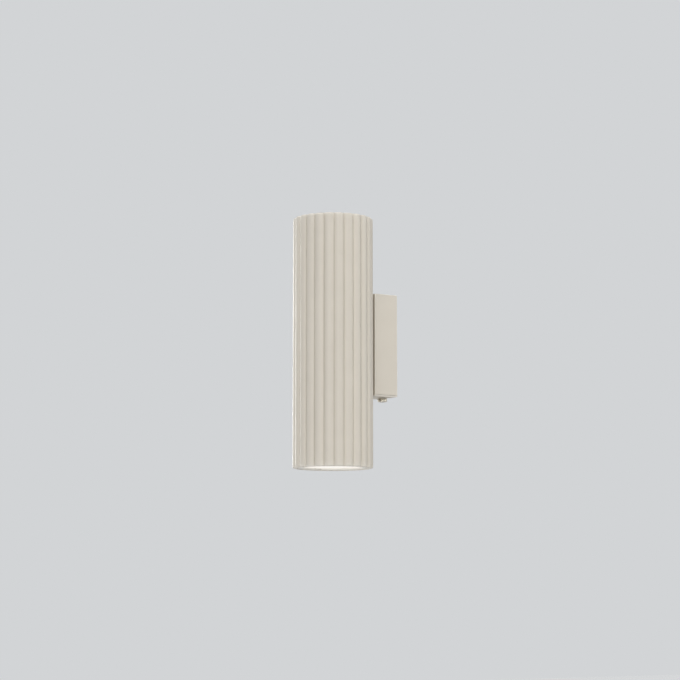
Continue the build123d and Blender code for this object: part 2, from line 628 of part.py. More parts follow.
# ---------------------------------------------------------------- ring, glass and gasket at each mouth
groove_bottom = seal_centre_radius - SEAL_RADIUS - GROOVE_ROOM
groove_half = SEAL_RADIUS + GROOVE_ROOM
ring_end = RING_RECESS + RING_HEIGHT
for end, side in ENDS.items():
    with BuildPart() as ring_seal:
        with BuildSketch(turning(side)):
            with Locations((seal_centre_radius, SEAL_DEPTH)):
                Circle(SEAL_RADIUS)
        revolve(axis=tube_axis)
    write(ring_seal, f"{end}_ring_seal")

    with BuildPart() as glass_ring:
        with BuildSketch(turning(side)):
            with BuildLine():
                Polyline(
                    (lip_radius, RING_RECESS),
                    (ring_radius, RING_RECESS),
                    (ring_radius, SEAL_DEPTH - groove_half),
                    (groove_bottom, SEAL_DEPTH - groove_half),
                    (groove_bottom, SEAL_DEPTH + groove_half),
                    (ring_radius, SEAL_DEPTH + groove_half),
                    (ring_radius, ring_end),
                    (cup_radius, ring_end),
                    (cup_radius, glass_depth),
                    (lip_radius, glass_depth),
                    close=True,
                )
            make_face()
        revolve(axis=tube_axis)
        with BuildSketch(mouth(side, RING_RECESS)):
            with PolarLocations(lip_radius, NOTCH_COUNT, start_angle=NOTCH_ANGLE):
                Rectangle(2 * NOTCH_INTO_RING, NOTCH_LENGTH)
        extrude(amount=NOTCH_DEPTH, mode=Mode.SUBTRACT)
    write(glass_ring, f"{end}_glass_ring")

    with BuildPart() as glass:
        with BuildSketch(mouth(side, glass_depth)):
            Circle(glass_radius)
        extrude(amount=GLASS_THICK)
    write(glass, f"{end}_glass")

    with BuildPart() as glass_gasket:
        with BuildSketch(mouth(side, gasket_depth)):
            Circle(cup_radius)
            Circle(cup_radius - GASKET_WIDTH, mode=Mode.SUBTRACT)
        extrude(amount=GASKET_THICK)
    write(glass_gasket, f"{end}_glass_gasket")

# ---------------------------------------------------------------- lamps
lens_floor = LAMP_DEPTH + LAMP_LENS_RECESS + LAMP_LENS_THICK
pin_places = [(0, PIN_SPACING / 2), (0, -PIN_SPACING / 2)]
for end, side in ENDS.items():
    with BuildPart() as lamp_body:
        with BuildSketch(turning(side)):
            with BuildLine():
                Polyline(
                    (0, lens_floor),
                    (LAMP_LENS_RADIUS, lens_floor),
                    (LAMP_LENS_RADIUS, LAMP_DEPTH),
                    (LAMP_RADIUS, LAMP_DEPTH),
                    (LAMP_RADIUS, LAMP_DEPTH + LAMP_RIM_HEIGHT),
                    (LAMP_WAIST_RADIUS, LAMP_DEPTH + LAMP_WAIST_HEIGHT),
                    (LAMP_BASE_RADIUS, base_depth),
                    (0, base_depth),
                    close=True,
                )
            make_face()
        revolve(axis=tube_axis)
    write(lamp_body, f"{end}_lamp_body")

    with BuildPart() as lamp_lens:
        with BuildSketch(mouth(side, LAMP_DEPTH + LAMP_LENS_RECESS)):
            Circle(LAMP_LENS_RADIUS - REST_GAP)
        extrude(amount=LAMP_LENS_THICK)
    write(lamp_lens, f"{end}_lamp_lens")

    with BuildPart() as lamp_base:
        with BuildSketch(mouth(side, base_depth)):
            Circle(LAMP_BASE_RADIUS)
        extrude(amount=LAMP_BASE_HEIGHT)
        fillet(lamp_base.edges().group_by(Axis.Z)[0 if side > 0 else -1], radius=LAMP_BASE_HEIGHT / 4)
    write(lamp_base, f"{end}_lamp_base")

    with BuildPart() as lamp_pins:
        with BuildSketch(mouth(side, pin_depth)):
            with Locations(*pin_places):
                Circle(PIN_NECK_RADIUS)
        extrude(amount=PIN_NECK_HEIGHT)
        with BuildSketch(mouth(side, pin_head_depth)):
            with Locations(*pin_places):
                Circle(PIN_HEAD_RADIUS)
        extrude(amount=PIN_HEAD_HEIGHT)
    write(lamp_pins, f"{end}_lamp_pins")

# ---------------------------------------------------------------- lamp holders
holder_screw_places = [(0, HOLDER_SCREW_SPACING / 2), (0, -HOLDER_SCREW_SPACING / 2)]
pin_circle = PIN_SPACING / 2
neck_room = PIN_NECK_RADIUS + PIN_ROOM
head_room = PIN_HEAD_RADIUS + PIN_ROOM
screw_head_recess = M3_HEAD_HEIGHT + PIN_ROOM
for end, side in ENDS.items():
    with BuildPart() as lamp_holder:
        with BuildSketch(mouth(side, holder_depth)):
            RectangleRounded(HOLDER_WIDTH, HOLDER_LENGTH, HOLDER_CORNER)
        extrude(amount=HOLDER_HEIGHT)
        # keyhole slots: the pins enter at one end and turn under the face to the other
        with BuildSketch(mouth(side, holder_depth)):
            for locked in (90, 270):
                entry = locked - LAMP_TWIST
                with BuildLine():
                    CenterArc((0, 0), pin_circle + neck_room, entry, LAMP_TWIST)
                    CenterArc(polar(pin_circle, locked), neck_room, locked, 180)
                    CenterArc((0, 0), pin_circle - neck_room, entry, LAMP_TWIST)
                    CenterArc(polar(pin_circle, entry), neck_room, entry + 180, 180)
                make_face()
            with PolarLocations(pin_circle, 2, start_angle=90 - LAMP_TWIST):
                Circle(head_room)
        extrude(amount=HOLDER_FACE_THICK, mode=Mode.SUBTRACT)
        with BuildSketch(mouth(side, cavity_depth)):
            Circle(pin_circle + head_room)
            Circle(pin_circle - head_room, mode=Mode.SUBTRACT)
        extrude(amount=cavity_floor - cavity_depth, mode=Mode.SUBTRACT)
        with BuildSketch(mouth(side, cavity_floor)):
            with Locations(*pin_places):
                Circle(LEAD_RADIUS + PRESS_SEAT)
        extrude(amount=tab_depth - cavity_floor, mode=Mode.SUBTRACT)
        with BuildSketch(mouth(side, holder_depth)):
            with Locations(*holder_screw_places):
                Circle(M3_RADIUS + SCREW_HOLE_ROOM)
        extrude(amount=HOLDER_HEIGHT, mode=Mode.SUBTRACT)
        with BuildSketch(mouth(side, holder_depth)):
            with Locations(*holder_screw_places):
                Circle(M3_HEAD_RADIUS + SCREW_HOLE_ROOM)
        extrude(amount=screw_head_recess, mode=Mode.SUBTRACT)
    write(lamp_holder, f"{end}_lamp_holder")

    with BuildPart() as holder_contacts:
        with BuildSketch(mouth(side, contact_depth)):
            with Locations(*pin_places):
                Rectangle(CONTACT_LENGTH, CONTACT_LENGTH - 2 * PIN_ROOM)
        extrude(amount=CONTACT_THICK)
    write(holder_contacts, f"{end}_holder_contacts")

with BuildPart() as holder_screws:
    for side in ENDS.values():
        head_depth = holder_depth + screw_head_recess - M3_HEAD_HEIGHT
        with BuildSketch(mouth(side, head_depth)):
            with Locations(*holder_screw_places):
                Circle(M3_HEAD_RADIUS)
        extrude(amount=M3_HEAD_HEIGHT)
        with BuildSketch(mouth(side, head_depth + M3_HEAD_HEIGHT)):
            with Locations(*holder_screw_places):
                Circle(M3_RADIUS)
        extrude(amount=tab_depth + FRAME_SHEET + M3_NUT_HEIGHT + M3_RADIUS - head_depth - M3_HEAD_HEIGHT)
        with BuildSketch(mouth(side, head_depth)):
            with Locations(*holder_screw_places):
                Rectangle(2 * M3_HEAD_RADIUS, DRIVE_WIDTH)
        extrude(amount=DRIVE_DEPTH, mode=Mode.SUBTRACT)
write(holder_screws, "holder_screws")

with BuildPart() as holder_nuts:
    for side in ENDS.values():
        with BuildSketch(mouth(side, tab_depth + FRAME_SHEET)):
            with Locations(*holder_screw_places):
                RegularPolygon(M3_NUT_RADIUS, 6)
                Circle(M3_RADIUS + THREAD_ROOM, mode=Mode.SUBTRACT)
        extrude(amount=M3_NUT_HEIGHT)
write(holder_nuts, "holder_nuts")

# ---------------------------------------------------------------- leads
# Each lead runs from its contact to the bush, through it, along the box's inner face and up
# one side of the terminal block, then turns into its pole.
inner_column = BLOCK_WIDTH / 2 + LEAD_COLUMN_PITCH
block_inside = CLAMP_LENGTH / 4


def lead_radii(points):
    """Bends as large as the runs allow inside the tube, and LEAD_BEND in the box."""
    radii = []
    for before, corner, after in zip(points, points[1:], points[2:]):
        back, on = Vector(*before) - Vector(*corner), Vector(*after) - Vector(*corner)
        turn = 180.0 - back.get_angle(on)
        reach = BEND_SHARE * min(back.length, on.length)
        largest = reach * sin(radians(90 - turn / 2)) / sin(radians(turn / 2))
        radii.append(min(largest, LEAD_LARGEST_BEND) if corner[1] < frame_inner else LEAD_BEND)
    return radii


def lead(name, points):
    with BuildPart() as wire:
        with BuildLine() as route:
            FilletPolyline(*points, radius=lead_radii(points))
        with BuildSketch(Plane(origin=points[0], z_dir=Vector(*points[1]) - Vector(*points[0]))):
            Circle(LEAD_RADIUS)
        sweep(path=route.wires()[0])
    write(wire, name)
    length = wire.part.volume / (pi * LEAD_RADIUS**2)
    print(name, "length", round(length, 1), "radii", [round(r, 1) for r in lead_radii(points)])


def box_route(bush_place, level, column, pole):
    """The part of a lead in the box: out of the bush, aside, up the block's side and into a pole."""
    bush_x, bush_z = bush_place
    y = pole_y + level
    end_x = block_inside if column > 0 else -block_inside
    return [(bush_x, y, bush_z), (column, y, bush_z), (column, y, pole_z[pole]), (end_x, y, pole_z[pole])]


def lamp_lead(side, contact_y, drop, bush_place, level, column, pole):
    lead_start = side * (half_length - cavity_floor)
    return [
        (0, contact_y, lead_start),
        (0, contact_y, side * drop),
        (bush_place[0], frame_inner - LEAD_BEFORE_BUSH, bush_place[1]),
    ] + box_route(bush_place, level, column, pole)


near_pin = tube_y + PIN_SPACING / 2
far_pin = tube_y - PIN_SPACING / 2
half_level = LEAD_COLUMN_PITCH / 2
next_column = inner_column + LEAD_COLUMN_PITCH
outer_column = next_column + LEAD_COLUMN_PITCH
upper_live = lamp_lead(1, near_pin, NEAR_LEAD_DROP, UPPER_LIVE_IN_BUSH, half_level, -next_column, 1)
upper_neutral = lamp_lead(1, far_pin, FAR_LEAD_DROP, UPPER_NEUTRAL_IN_BUSH, -half_level, -inner_column, 0)
lower_neutral = lamp_lead(-1, far_pin, FAR_LEAD_DROP, LOWER_NEUTRAL_IN_BUSH, 0, inner_column, 0)
lower_live = lamp_lead(-1, near_pin, NEAR_LEAD_DROP, LOWER_LIVE_IN_BUSH, 0, next_column, 1)
lead("upper_live_lead", upper_live)
lead("upper_neutral_lead", upper_neutral)
lead("lower_neutral_lead", lower_neutral)
lead("lower_live_lead", lower_live)
tag_x = -M4_HEAD_RADIUS - 3 * LEAD_RADIUS
tag_y = frame_inner - WASHER_THICK - LEAD_RADIUS
earth_middle = (frame_earth_z + EARTH_IN_BUSH[1]) / 2
earth_route = [
    (tag_x, tag_y, frame_earth_z - 2 * LEAD_RADIUS),
    (tag_x, tag_y, frame_earth_z + EARTH_LEAD_STRAIGHT),
    ((tag_x + EARTH_IN_BUSH[0]) / 2, tag_y - EARTH_LEAD_BULGE, earth_middle),
    (EARTH_IN_BUSH[0], frame_inner - LEAD_BEFORE_BUSH, EARTH_IN_BUSH[1]),
]
lead("earth_lead", earth_route + box_route(EARTH_IN_BUSH, 0, -outer_column, 2))
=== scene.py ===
import json
import math

import bmesh
import bpy
from mathutils import Matrix, Vector

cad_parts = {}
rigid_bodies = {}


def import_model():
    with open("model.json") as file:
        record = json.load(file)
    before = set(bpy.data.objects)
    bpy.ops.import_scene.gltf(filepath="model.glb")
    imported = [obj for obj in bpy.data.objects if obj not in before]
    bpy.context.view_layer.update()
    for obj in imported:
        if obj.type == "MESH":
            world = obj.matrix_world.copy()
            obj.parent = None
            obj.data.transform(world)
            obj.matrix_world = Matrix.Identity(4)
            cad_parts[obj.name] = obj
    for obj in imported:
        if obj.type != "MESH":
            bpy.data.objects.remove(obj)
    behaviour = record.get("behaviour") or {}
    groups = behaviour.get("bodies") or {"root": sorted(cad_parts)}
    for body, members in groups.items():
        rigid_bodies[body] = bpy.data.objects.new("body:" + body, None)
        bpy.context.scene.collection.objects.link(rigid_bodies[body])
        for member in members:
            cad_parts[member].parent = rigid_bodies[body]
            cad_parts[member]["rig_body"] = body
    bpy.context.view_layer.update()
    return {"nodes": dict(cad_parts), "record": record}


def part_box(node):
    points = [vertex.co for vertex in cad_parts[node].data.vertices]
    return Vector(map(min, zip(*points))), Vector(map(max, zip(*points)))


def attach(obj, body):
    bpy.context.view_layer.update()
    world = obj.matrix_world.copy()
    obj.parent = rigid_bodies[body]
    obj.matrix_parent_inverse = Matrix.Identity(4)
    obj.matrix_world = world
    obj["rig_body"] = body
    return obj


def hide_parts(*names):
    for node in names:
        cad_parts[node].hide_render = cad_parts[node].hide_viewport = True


# A reeded tube light on a folded wall box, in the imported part's own frame: +Y into the wall,
# +Z up the tube. Sizes are in millimetres until a mesh is made, and MM turns them to metres.
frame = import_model()
MM = 0.001

# ---------------------------------------------------------------- edges, wear and smoothing
CURVE = "curve"  # the name of the attribute that says where a piece bends, in radians
BIG_FACE = 60.0  # mm2
SHARP_ANGLE = math.radians(32)
BEVEL_ANGLE = math.radians(35)
FLAT_ANGLE = math.radians(0.5)
BEVEL_RIM_BEND = 0.2  # the bend at the outer rim of a bevel
ROUND_BEND = 0.08  # the bend where a drawn round starts
CREST_BEND = 0.04  # the least bend that counts on the tube, a little under that of a crest
# Outward bends take a lighter edge colour, partly worn edges and partly a painted highlight; inward
# bends take a painted shade.
WEAR_AND_HIGHLIGHT_STARTS = 0.02
WEAR_AND_HIGHLIGHT_FULL = 0.2
WEAR_AND_HIGHLIGHT_SHARE = 0.7
SHADE_FULL = -0.1
SHADE_SHARE = 0.85
SPREAD_STEPS = 5  # how far the painted shade and the lighter edge colour (worn edges and painted highlight) reach over the tube's and rings' fine mesh
ROUGH_PATCH_SHARE = 0.6  # the size of a dull patch against that of a colour patch
CLOUD_RANGE = (0.3, 0.7)  # where most of a cloud's values lie
COPY_JOIN = 0.002  # mm, between repeated sectors
TRIANGLE_JOIN = 0.001  # mm, between loose triangles
POINT_JOIN = 0.0005  # mm, between points of a drawn mesh
FLAT_EDGE = 0.0002  # mm, an edge so short is dropped

# ---------------------------------------------------------------- sizes in mm
CREST_RADIUS = 40.0
RIB_COUNT = 24
RIB_DEPTH = 2.2
VALLEY_ROUND = 0.6
RIM_ROUND = 1.8
MOUTH_STEP = 1.0
MOUTH_DEPTH = 9.0
TUBE_WALL = 3.2
EDGE_ROUND = 0.3  # a filed and painted edge
LOOP_DEPTHS = (3.0, 6.0, 20.0, 60.0)  # from the tube's end
REED_STEPS = 7  # from a rib's middle to where its valley's round begins
VALLEY_STEPS = 3
RIM_STEPS = 8

RING_RECESS = 0.5
RING_WALL = 3.0
RING_GAP = 0.3
NOTCH_COUNT = 3
NOTCH_ANGLE = 58.0  # degrees, of the first notch
NOTCH_HALF_WIDTH = 7.3  # degrees
NOTCH_INTO_LIP = 2.4
NOTCH_DEPTH = 1.0
NOTCH_BACK = 0.1  # over which the notch's back wall falls
NOTCH_WALL = 0.12  # degrees over which its sides fall
NOTCH_STEPS = 4
PLAIN_STEPS = 20  # from a notch to halfway to the next
RING_FACE_ROUND = 0.45
CUP_ROUND = 0.15
SEAT_ROUND = 0.1
LIP_OVER_GLASS = 2.0
SEAL_RADIUS = 0.75
SEAL_DEPTH = 5.3
SEAL_INSET = 0.05  # what keeps the seal inside the mouth's wall
SEAL_SIDES = 16
GROOVE_ROOM = 0.12
GROOVE_ROUND = 0.12
GLASS_ROUND = 0.4
GASKET_WIDTH = 2.1
GASKET_ROUND = 0.3
TURNED_SIDES = 160
ROUND_STEPS = 4

FIN_COUNT = 30
FIN_DEPTH = 0.9
FIN_STEPS = 4  # from a fin's middle to halfway to the next
COLLAR_DEPTH = 7.0  # the smooth collar behind the lamp's face
CONE_START = 9.0  # the ribbed cone's depths behind the lamp's face
CONE_END = 36.0
CONE_INSET = 1.8  # the cone's front end against the collar
WAIST_ROOM = 2.5  # the waist's radius against the base's
WAIST_FLARE = 0.6
NECK_DEPTH = 38.0
NECK_INSET = 0.2
LENS_BED = 2.0
LENS_GAP = 0.05
LENS_RECESS = 0.2
LENS_RINGS = 6
LENS_EYE = 1.0  # the radius of the innermost ring
LENS_RIM = 2.0  # the plain rim and the eye together
LENS_RIPPLE = 0.35
LENS_SIDES = 96

tube_low, tube_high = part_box("tube_shell")
half_length = (tube_high.z - tube_low.z) / 2 / MM
axis_y = (tube_high.y + tube_low.y) / 2 / MM
ENDS = {"upper": 1, "lower": -1}


# ---------------------------------------------------------------- colours and nodes
def srgb(code):
    """Linear RGBA from a hex colour."""
    parts = [int(code[i : i + 2], 16) / 255 for i in (1, 3, 5)]
    linear = [c / 12.92 if c <= 0.04045 else ((c + 0.055) / 1.055) ** 2.4 for c in parts]
    return (*linear, 1.0)


def add(tree, kind, links=None, **settings):
    """Adds a node. Links gives its inputs, by name or number, a value or a socket."""
    node = tree.nodes.new(kind)
    for name, value in settings.items():
        setattr(node, name, value)
    for name, value in (links or {}).items():
        socket = node.inputs[name]
        if isinstance(value, bpy.types.NodeSocket):
            tree.links.new(value, socket)
        else:
            socket.default_value = value
    return node


def maths(tree, operation, *values):
    """The result of a math node, each of whose values is a number or a socket."""
    return add(tree, "ShaderNodeMath", dict(enumerate(values)), operation=operation).outputs[0]


def new_material(name):
    """A new material and its empty node tree."""
    material = bpy.data.materials.new(name)
    material.use_nodes = True
    material.node_tree.nodes.clear()
    return material, material.node_tree


def paint(material, tree, inputs):
    """Gives a material one plain shader with these inputs."""
    shader = add(tree, "ShaderNodeBsdfPrincipled", inputs)
    add(tree, "ShaderNodeOutputMaterial", {"Surface": shader.outputs["BSDF"]})
    return material


def object_place(tree, scale=(1, 1, 1), location=(0, 0, 0)):
    """The place on the object, in metres, stretched and moved."""
    place = add(tree, "ShaderNodeTexCoord")
    moved = add(
        tree,
        "ShaderNodeMapping",
        {"Vector": place.outputs["Object"], "Scale": scale, "Location": location},
    )
    return moved.outputs[0]


def cloud(tree, size_mm, detail=2.0, stretch=(1, 1, 1)):
    """Soft noise from 0 to 1, with patches of that size."""
    noise = add(
        tree,
        "ShaderNodeTexNoise",
        {"Vector": object_place(tree, stretch), "Scale": 1 / (size_mm * MM), "Detail": detail},
    )
    return noise.outputs["Fac"]


def blend(tree, share, first, second):
    """A mix of two colours, each given as a hex code or a socket."""
    colours = [srgb(c) if isinstance(c, str) else c for c in (first, second)]
    sockets = {"Factor": share, 6: colours[0], 7: colours[1]}
    mixed = add(tree, "ShaderNodeMix", sockets, data_type="RGBA")
    return mixed.outputs[2]


def span(tree, value, low, high, at_low, at_high):
    """A value's range mapped onto another."""
    sockets = {"Value": value, 1: low, 2: high, 3: at_low, 4: at_high}
    return add(tree, "ShaderNodeMapRange", sockets).outputs[0]


def bend_of(tree):
    """How the surface bends: above 0 on an edge, below 0 in a groove."""
    return add(tree, "ShaderNodeAttribute", attribute_name=CURVE).outputs["Fac"]


def grain(tree, grain_mm, depth_mm, stretch=(1, 1, 1)):
    """A normal roughened by bumps of that size and depth."""
    height = cloud(tree, grain_mm, 2.0, stretch)
    sockets = {"Height": height, "Distance": depth_mm * MM, "Strength": 1.0}
    return add(tree, "ShaderNodeBump", sockets).outputs["Normal"]


def finish(name, shades, patch_mm, edge, groove, roughness, bumps, metallic=0.0, stretch=(1, 1, 1)):
    """A finish whose colour drifts between two shades over patches, with a lighter edge colour on
    outward bends, partly worn edges and partly a painted highlight, and a groove colour on inward
    bends, a painted shade. Roughness is (least, most), and bumps are (size, depth) in mm."""
    material, tree = new_material(name)
    shade = span(tree, bend_of(tree), 0.0, SHADE_FULL, 0.0, SHADE_SHARE)
    wear_and_highlight = span(tree, bend_of(tree), WEAR_AND_HIGHLIGHT_STARTS, WEAR_AND_HIGHLIGHT_FULL, 0.0, WEAR_AND_HIGHLIGHT_SHARE)
    colour = blend(tree, cloud(tree, patch_mm, 3.0, stretch), *shades)
    # Painted shade: darker towards the groove colour where the surface bends inwards.
    colour = blend(tree, shade, colour, groove)
    # Lighter towards the edge colour on outward bends: partly worn edges, partly a painted
    # highlight.
    colour = blend(tree, wear_and_highlight, colour, edge)
    handled = cloud(tree, patch_mm * ROUGH_PATCH_SHARE)
    inputs = {
        "Base Color": colour,
        "Normal": grain(tree, *bumps, stretch),
        "Metallic": metallic,
        "Roughness": span(tree, handled, *CLOUD_RANGE, *roughness),
    }
    return paint(material, tree, inputs)


# ---------------------------------------------------------------- finishes
# In every finish below, the groove colour is a painted shade, and the edge colour is partly worn
# edges and partly a painted highlight.
# Grain that is finer than about half a millimetre in life, such as blasting, scratches and spark
# texture, is drawn at 0.35 to 0.9 mm, so that it shows.
GLOW_FULL = 8.0  # mm from the axis, where the lamp lights the glass fully
GLOW_EDGE = 33.0  # mm from the axis, at the glass's rim
DIODE_SPACING = 9.0
STRIPE_SIDE = -0.35  # the stripe is where the lead's normal points further to -X than this


def lit_frosted_glass():
    """Sand-blasted soda glass with a lamp close behind it. The eye gets a warm glow that is fullest
    over the lamp's face and falls off towards the ring."""
    material, tree = new_material("lit_frosted_glass")
    across = object_place(tree, (1, 1, 0), (0, -axis_y * MM, 0))
    radius = add(tree, "ShaderNodeVectorMath", {0: across}, operation="LENGTH")
    falloff = span(tree, radius.outputs["Value"], GLOW_FULL * MM, GLOW_EDGE * MM, 1.0, 0.0)
    inputs = {
        "Base Color": blend(tree, cloud(tree, 3.0), "#5f5e5a", "#676661"),
        "Normal": grain(tree, 0.6, 0.01),
        "Roughness": 0.8,
        "IOR": 1.52,
        "Specular IOR Level": 0.2,
        "Emission Color": blend(tree, falloff, "#faf4ec", "#fffbf5"),
        "Emission Strength": 0.84,
    }
    return paint(material, tree, inputs)


def lit_lamp_lens():
    """Frosted acrylic over the lamp's diodes: a warm glow, a little brighter over each diode."""
    material, tree = new_material("lit_frosted_acrylic")
    diodes = add(
        tree,
        "ShaderNodeTexVoronoi",
        {"Vector": object_place(tree, (1, 1, 0)), "Scale": 1 / (DIODE_SPACING * MM)},
    )
    inputs = {
        "Base Color": blend(tree, cloud(tree, 4.0), "#efe9dc", "#f7f2e6"),
        "Normal": grain(tree, 0.5, 0.008),
        "Roughness": 0.35,
        "Emission Color": blend(tree, diodes.outputs["Distance"], "#fff3dc", "#e5d3b0"),
        "Emission Strength": 0.6,
    }
    return paint(material, tree, inputs)


def earth_insulation():
    """Green silicone insulation with a yellow stripe along one side."""
    material, tree = new_material("green_and_yellow_silicone")
    surface = add(tree, "ShaderNodeNewGeometry")
    side = add(tree, "ShaderNodeSeparateXYZ", {0: surface.outputs["Normal"]})
    stripe = maths(tree, "LESS_THAN", side.outputs["X"], STRIPE_SIDE)
    inputs = {
        "Base Color": blend(tree, stripe, "#3f7f35", "#d9c62f"),
        "Normal": grain(tree, 0.5, 0.006),
        "Roughness": 0.42,
    }
    return paint(material, tree, inputs)


# Polyester powder coat baked on metal: an even warm white with a satin sheen and the faint orange
# peel of melted powder. It is thin on edges, which are painted lighter, partly worn and partly a
# painted highlight, and a painted shade darkens the grooves between reeds.
cream_coat = finish(
    "cream_powder_coat",
    shades=("#d1cabe", "#d7d0c4"),
    patch_mm=18.0,
    edge="#f3efe8",
    groove="#9f9685",
    roughness=(0.37, 0.45),
    bumps=(1.4, 0.03),
)
# The same coat drawn whiter on the ring, a painted brightening for the light that the lamp casts on
# it from behind.
ring_coat_painted_bright = finish(
    "ring_coat_painted_lamp_lit",
    shades=("#e4e1d9", "#e9e6df"),
    patch_mm=12.0,
    edge="#f4f2ec",
    groove="#bdb8ab",
    roughness=(0.42, 0.5),
    bumps=(1.4, 0.02),
)
# Bright zinc over steel: cool grey with yellower clouds, duller where it was handled and bright on
# its edges.
zinc = finish(
    "zinc_plated_steel",
    shades=("#a9abaa", "#c9c6b9"),
    patch_mm=9.0,
    edge="#dedfe0",
    groove="#6f6f6c",
    roughness=(0.34, 0.42),
    bumps=(0.5, 0.008),
    metallic=1.0,
)
# Nickel plate on a knurled screw: a warm grey mirror, with a painted shade in the knurl's grooves.
nickel = finish(
    "nickel_plated_steel",
    shades=("#bdb6a7", "#d3cdc0"),
    patch_mm=2.5,
    edge="#efebe3",
    groove="#6e675a",
    roughness=(0.2, 0.32),
    bumps=(0.35, 0.004),
    metallic=1.0,
)
# Bright rolled strip: fine scratches run along it and draw the light out across it.
rolled_strip = finish(
    "rolled_steel_strip",
    shades=("#a6a9ab", "#c4c6c7"),
    patch_mm=8.0,
    edge="#dcdddd",
    groove="#6c6e70",
    roughness=(0.28, 0.4),
    bumps=(0.5, 0.01),
    metallic=1.0,
    stretch=(1, 1, 0.05),
)
# Turned brass, a little tarnished: yellow metal with browner patches, bright where it is rubbed.
brass = finish(
    "turned_brass",
    shades=("#a07a38", "#d2ab5c"),
    patch_mm=3.0,
    edge="#edd08c",
    groove="#5f4a22",
    roughness=(0.22, 0.38),
    bumps=(0.4, 0.004),
    metallic=1.0,
)
# Moulded rubber: near black, greyer on its worn edges, with the dull spark texture of its mould.
rubber = finish(
    "moulded_rubber",
    shades=("#242427", "#303034"),
    patch_mm=4.0,
    edge="#4b4b50",
    groove="#18181a",
    roughness=(0.7, 0.84),
    bumps=(0.5, 0.02),
)
# White silicone: milky and soft, with a faint mould texture.
silicone = finish(
    "white_silicone",
    shades=("#cfcdc6", "#dad8d1"),
    patch_mm=6.0,
    edge="#e4e2dc",
    groove="#a9a69d",
    roughness=(0.5, 0.6),
    bumps=(0.8, 0.01),
)
# Natural nylon: a waxy, slightly yellow white.
nylon = finish(
    "natural_nylon",
    shades=("#dedacf", "#e8e4da"),
    patch_mm=4.0,
    edge="#f1eee7",
    groove="#a7a192",
    roughness=(0.44, 0.54),
    bumps=(0.6, 0.008),
)
# White polyamide of the terminal block: even, with a fine spark texture and soft moulded edges.
polyamide = finish(
    "white_polyamide",
    shades=("#d9d7d1", "#e4e2dc"),
    patch_mm=5.0,
    edge="#efeeea",
    groove="#a3a099",
    roughness=(0.42, 0.5),
    bumps=(0.7, 0.01),
)
# Grey-white nylon of the bush through the box.
bush_nylon = finish(
    "grey_white_nylon",
    shades=("#c4c2bb", "#d0cec7"),
    patch_mm=5.0,
    edge="#dddbd5",
    groove="#918e86",
    roughness=(0.46, 0.56),
    bumps=(0.7, 0.01),
)
# White thermoplastic of the lamp: smooth, with the slight gloss of its mould, and a grey painted
# shade between the fins.
housing = finish(
    "white_thermoplastic",
    shades=("#dbdad7", "#e6e5e2"),
    patch_mm=7.0,
    edge="#f2f2f0",
    groove="#a5a4a0",
    roughness=(0.32, 0.42),
    bumps=(0.9, 0.008),
)
# Unglazed steatite, pressed and fired: chalky off-white, with a brown painted shade in its
# recesses.
steatite = finish(
    "unglazed_steatite",
    shades=("#dcd5c6", "#ebe7dd"),
    patch_mm=2.0,
    edge="#f3f0e8",
    groove="#a99b82",
    roughness=(0.66, 0.8),
    bumps=(0.5, 0.03),
)
# Silicone insulation, brown on the live leads and blue on the neutral ones, with a soft sheen.
brown_silicone = finish(
    "brown_silicone",
    shades=("#56321f", "#68402a"),
    patch_mm=5.0,
    edge="#7c5138",
    groove="#3c2213",
    roughness=(0.38, 0.48),
    bumps=(0.5, 0.006),
)
blue_silicone = finish(
    "blue_silicone",
    shades=("#1d4f8a", "#2b63a4"),
    patch_mm=5.0,
    edge="#4177b4",
    groove="#143a68",
    roughness=(0.38, 0.48),
    bumps=(0.5, 0.006),
)
FINISH_OF_SLOT = {
    "body_paint": cream_coat,
    "ring_paint": ring_coat_painted_bright,
    "plate_steel": zinc,
    "rubber": rubber,
    "earth_steel": zinc,
    "screw_nickel": nickel,
    "nylon": nylon,
    "frame_steel": rolled_strip,
    "block_plastic": polyamide,
    "brass": brass,
    "bush_plastic": bush_nylon,
    "lens_glass": lit_frosted_glass(),
    "silicone": silicone,
    "lamp_housing": housing,
    "lamp_lens": lit_lamp_lens(),
    "ceramic": steatite,
    "lead_brown": brown_silicone,
    "lead_blue": blue_silicone,
    "lead_green": earth_insulation(),
}
SLOT_OF_NODE = {part["node"]: part["material_slot"] for part in frame["record"]["subparts"]}


# ---------------------------------------------------------------- shapes
def rounded(corners, steps=ROUND_STEPS):
    """A closed outline in which each corner (x, y, radius) becomes an arc."""
    outline = []
    for i, (x, y, radius) in enumerate(corners):
        here = Vector((x, y))
        if radius == 0:
            outline.append((x, y))
            continue
        before = (Vector(corners[i - 1][:2]) - here).normalized()
        after = (Vector(corners[(i + 1) % len(corners)][:2]) - here).normalized()
        half = before.angle(after) / 2
        start = here + before * radius / math.tan(half)
        end = here + after * radius / math.tan(half)
        centre = here + (before + after).normalized() * radius / math.sin(half)
        for k in range(steps + 1):
            ray = (start - centre).slerp(end - centre, k / steps)
            outline.append(tuple(centre + ray.normalized() * radius))
    return outline


def turned_grid(outlines, angles, closed):
    """A mesh through closed outlines of (radius, height), each at its angle about the Z axis."""
    mesh = bmesh.new()
    rows = []
    for outline, angle in zip(outlines, angles):
        x, y = math.cos(angle) * MM, math.sin(angle) * MM
        rows.append([mesh.verts.new((r * x, r * y, h * MM)) for r, h in outline])
    pairs = list(zip(rows, rows[1:])) + ([(rows[-1], rows[0])] if closed else [])
    for here, there in pairs:
        for k in range(len(here)):
            after = (k + 1) % len(here)
            mesh.faces.new((here[k], here[after], there[after], there[k]))
    bmesh.ops.remove_doubles(mesh, verts=mesh.verts, dist=POINT_JOIN * MM)
    bmesh.ops.dissolve_degenerate(mesh, edges=mesh.edges, dist=FLAT_EDGE * MM)
    bmesh.ops.recalc_face_normals(mesh, faces=mesh.faces)
    return mesh


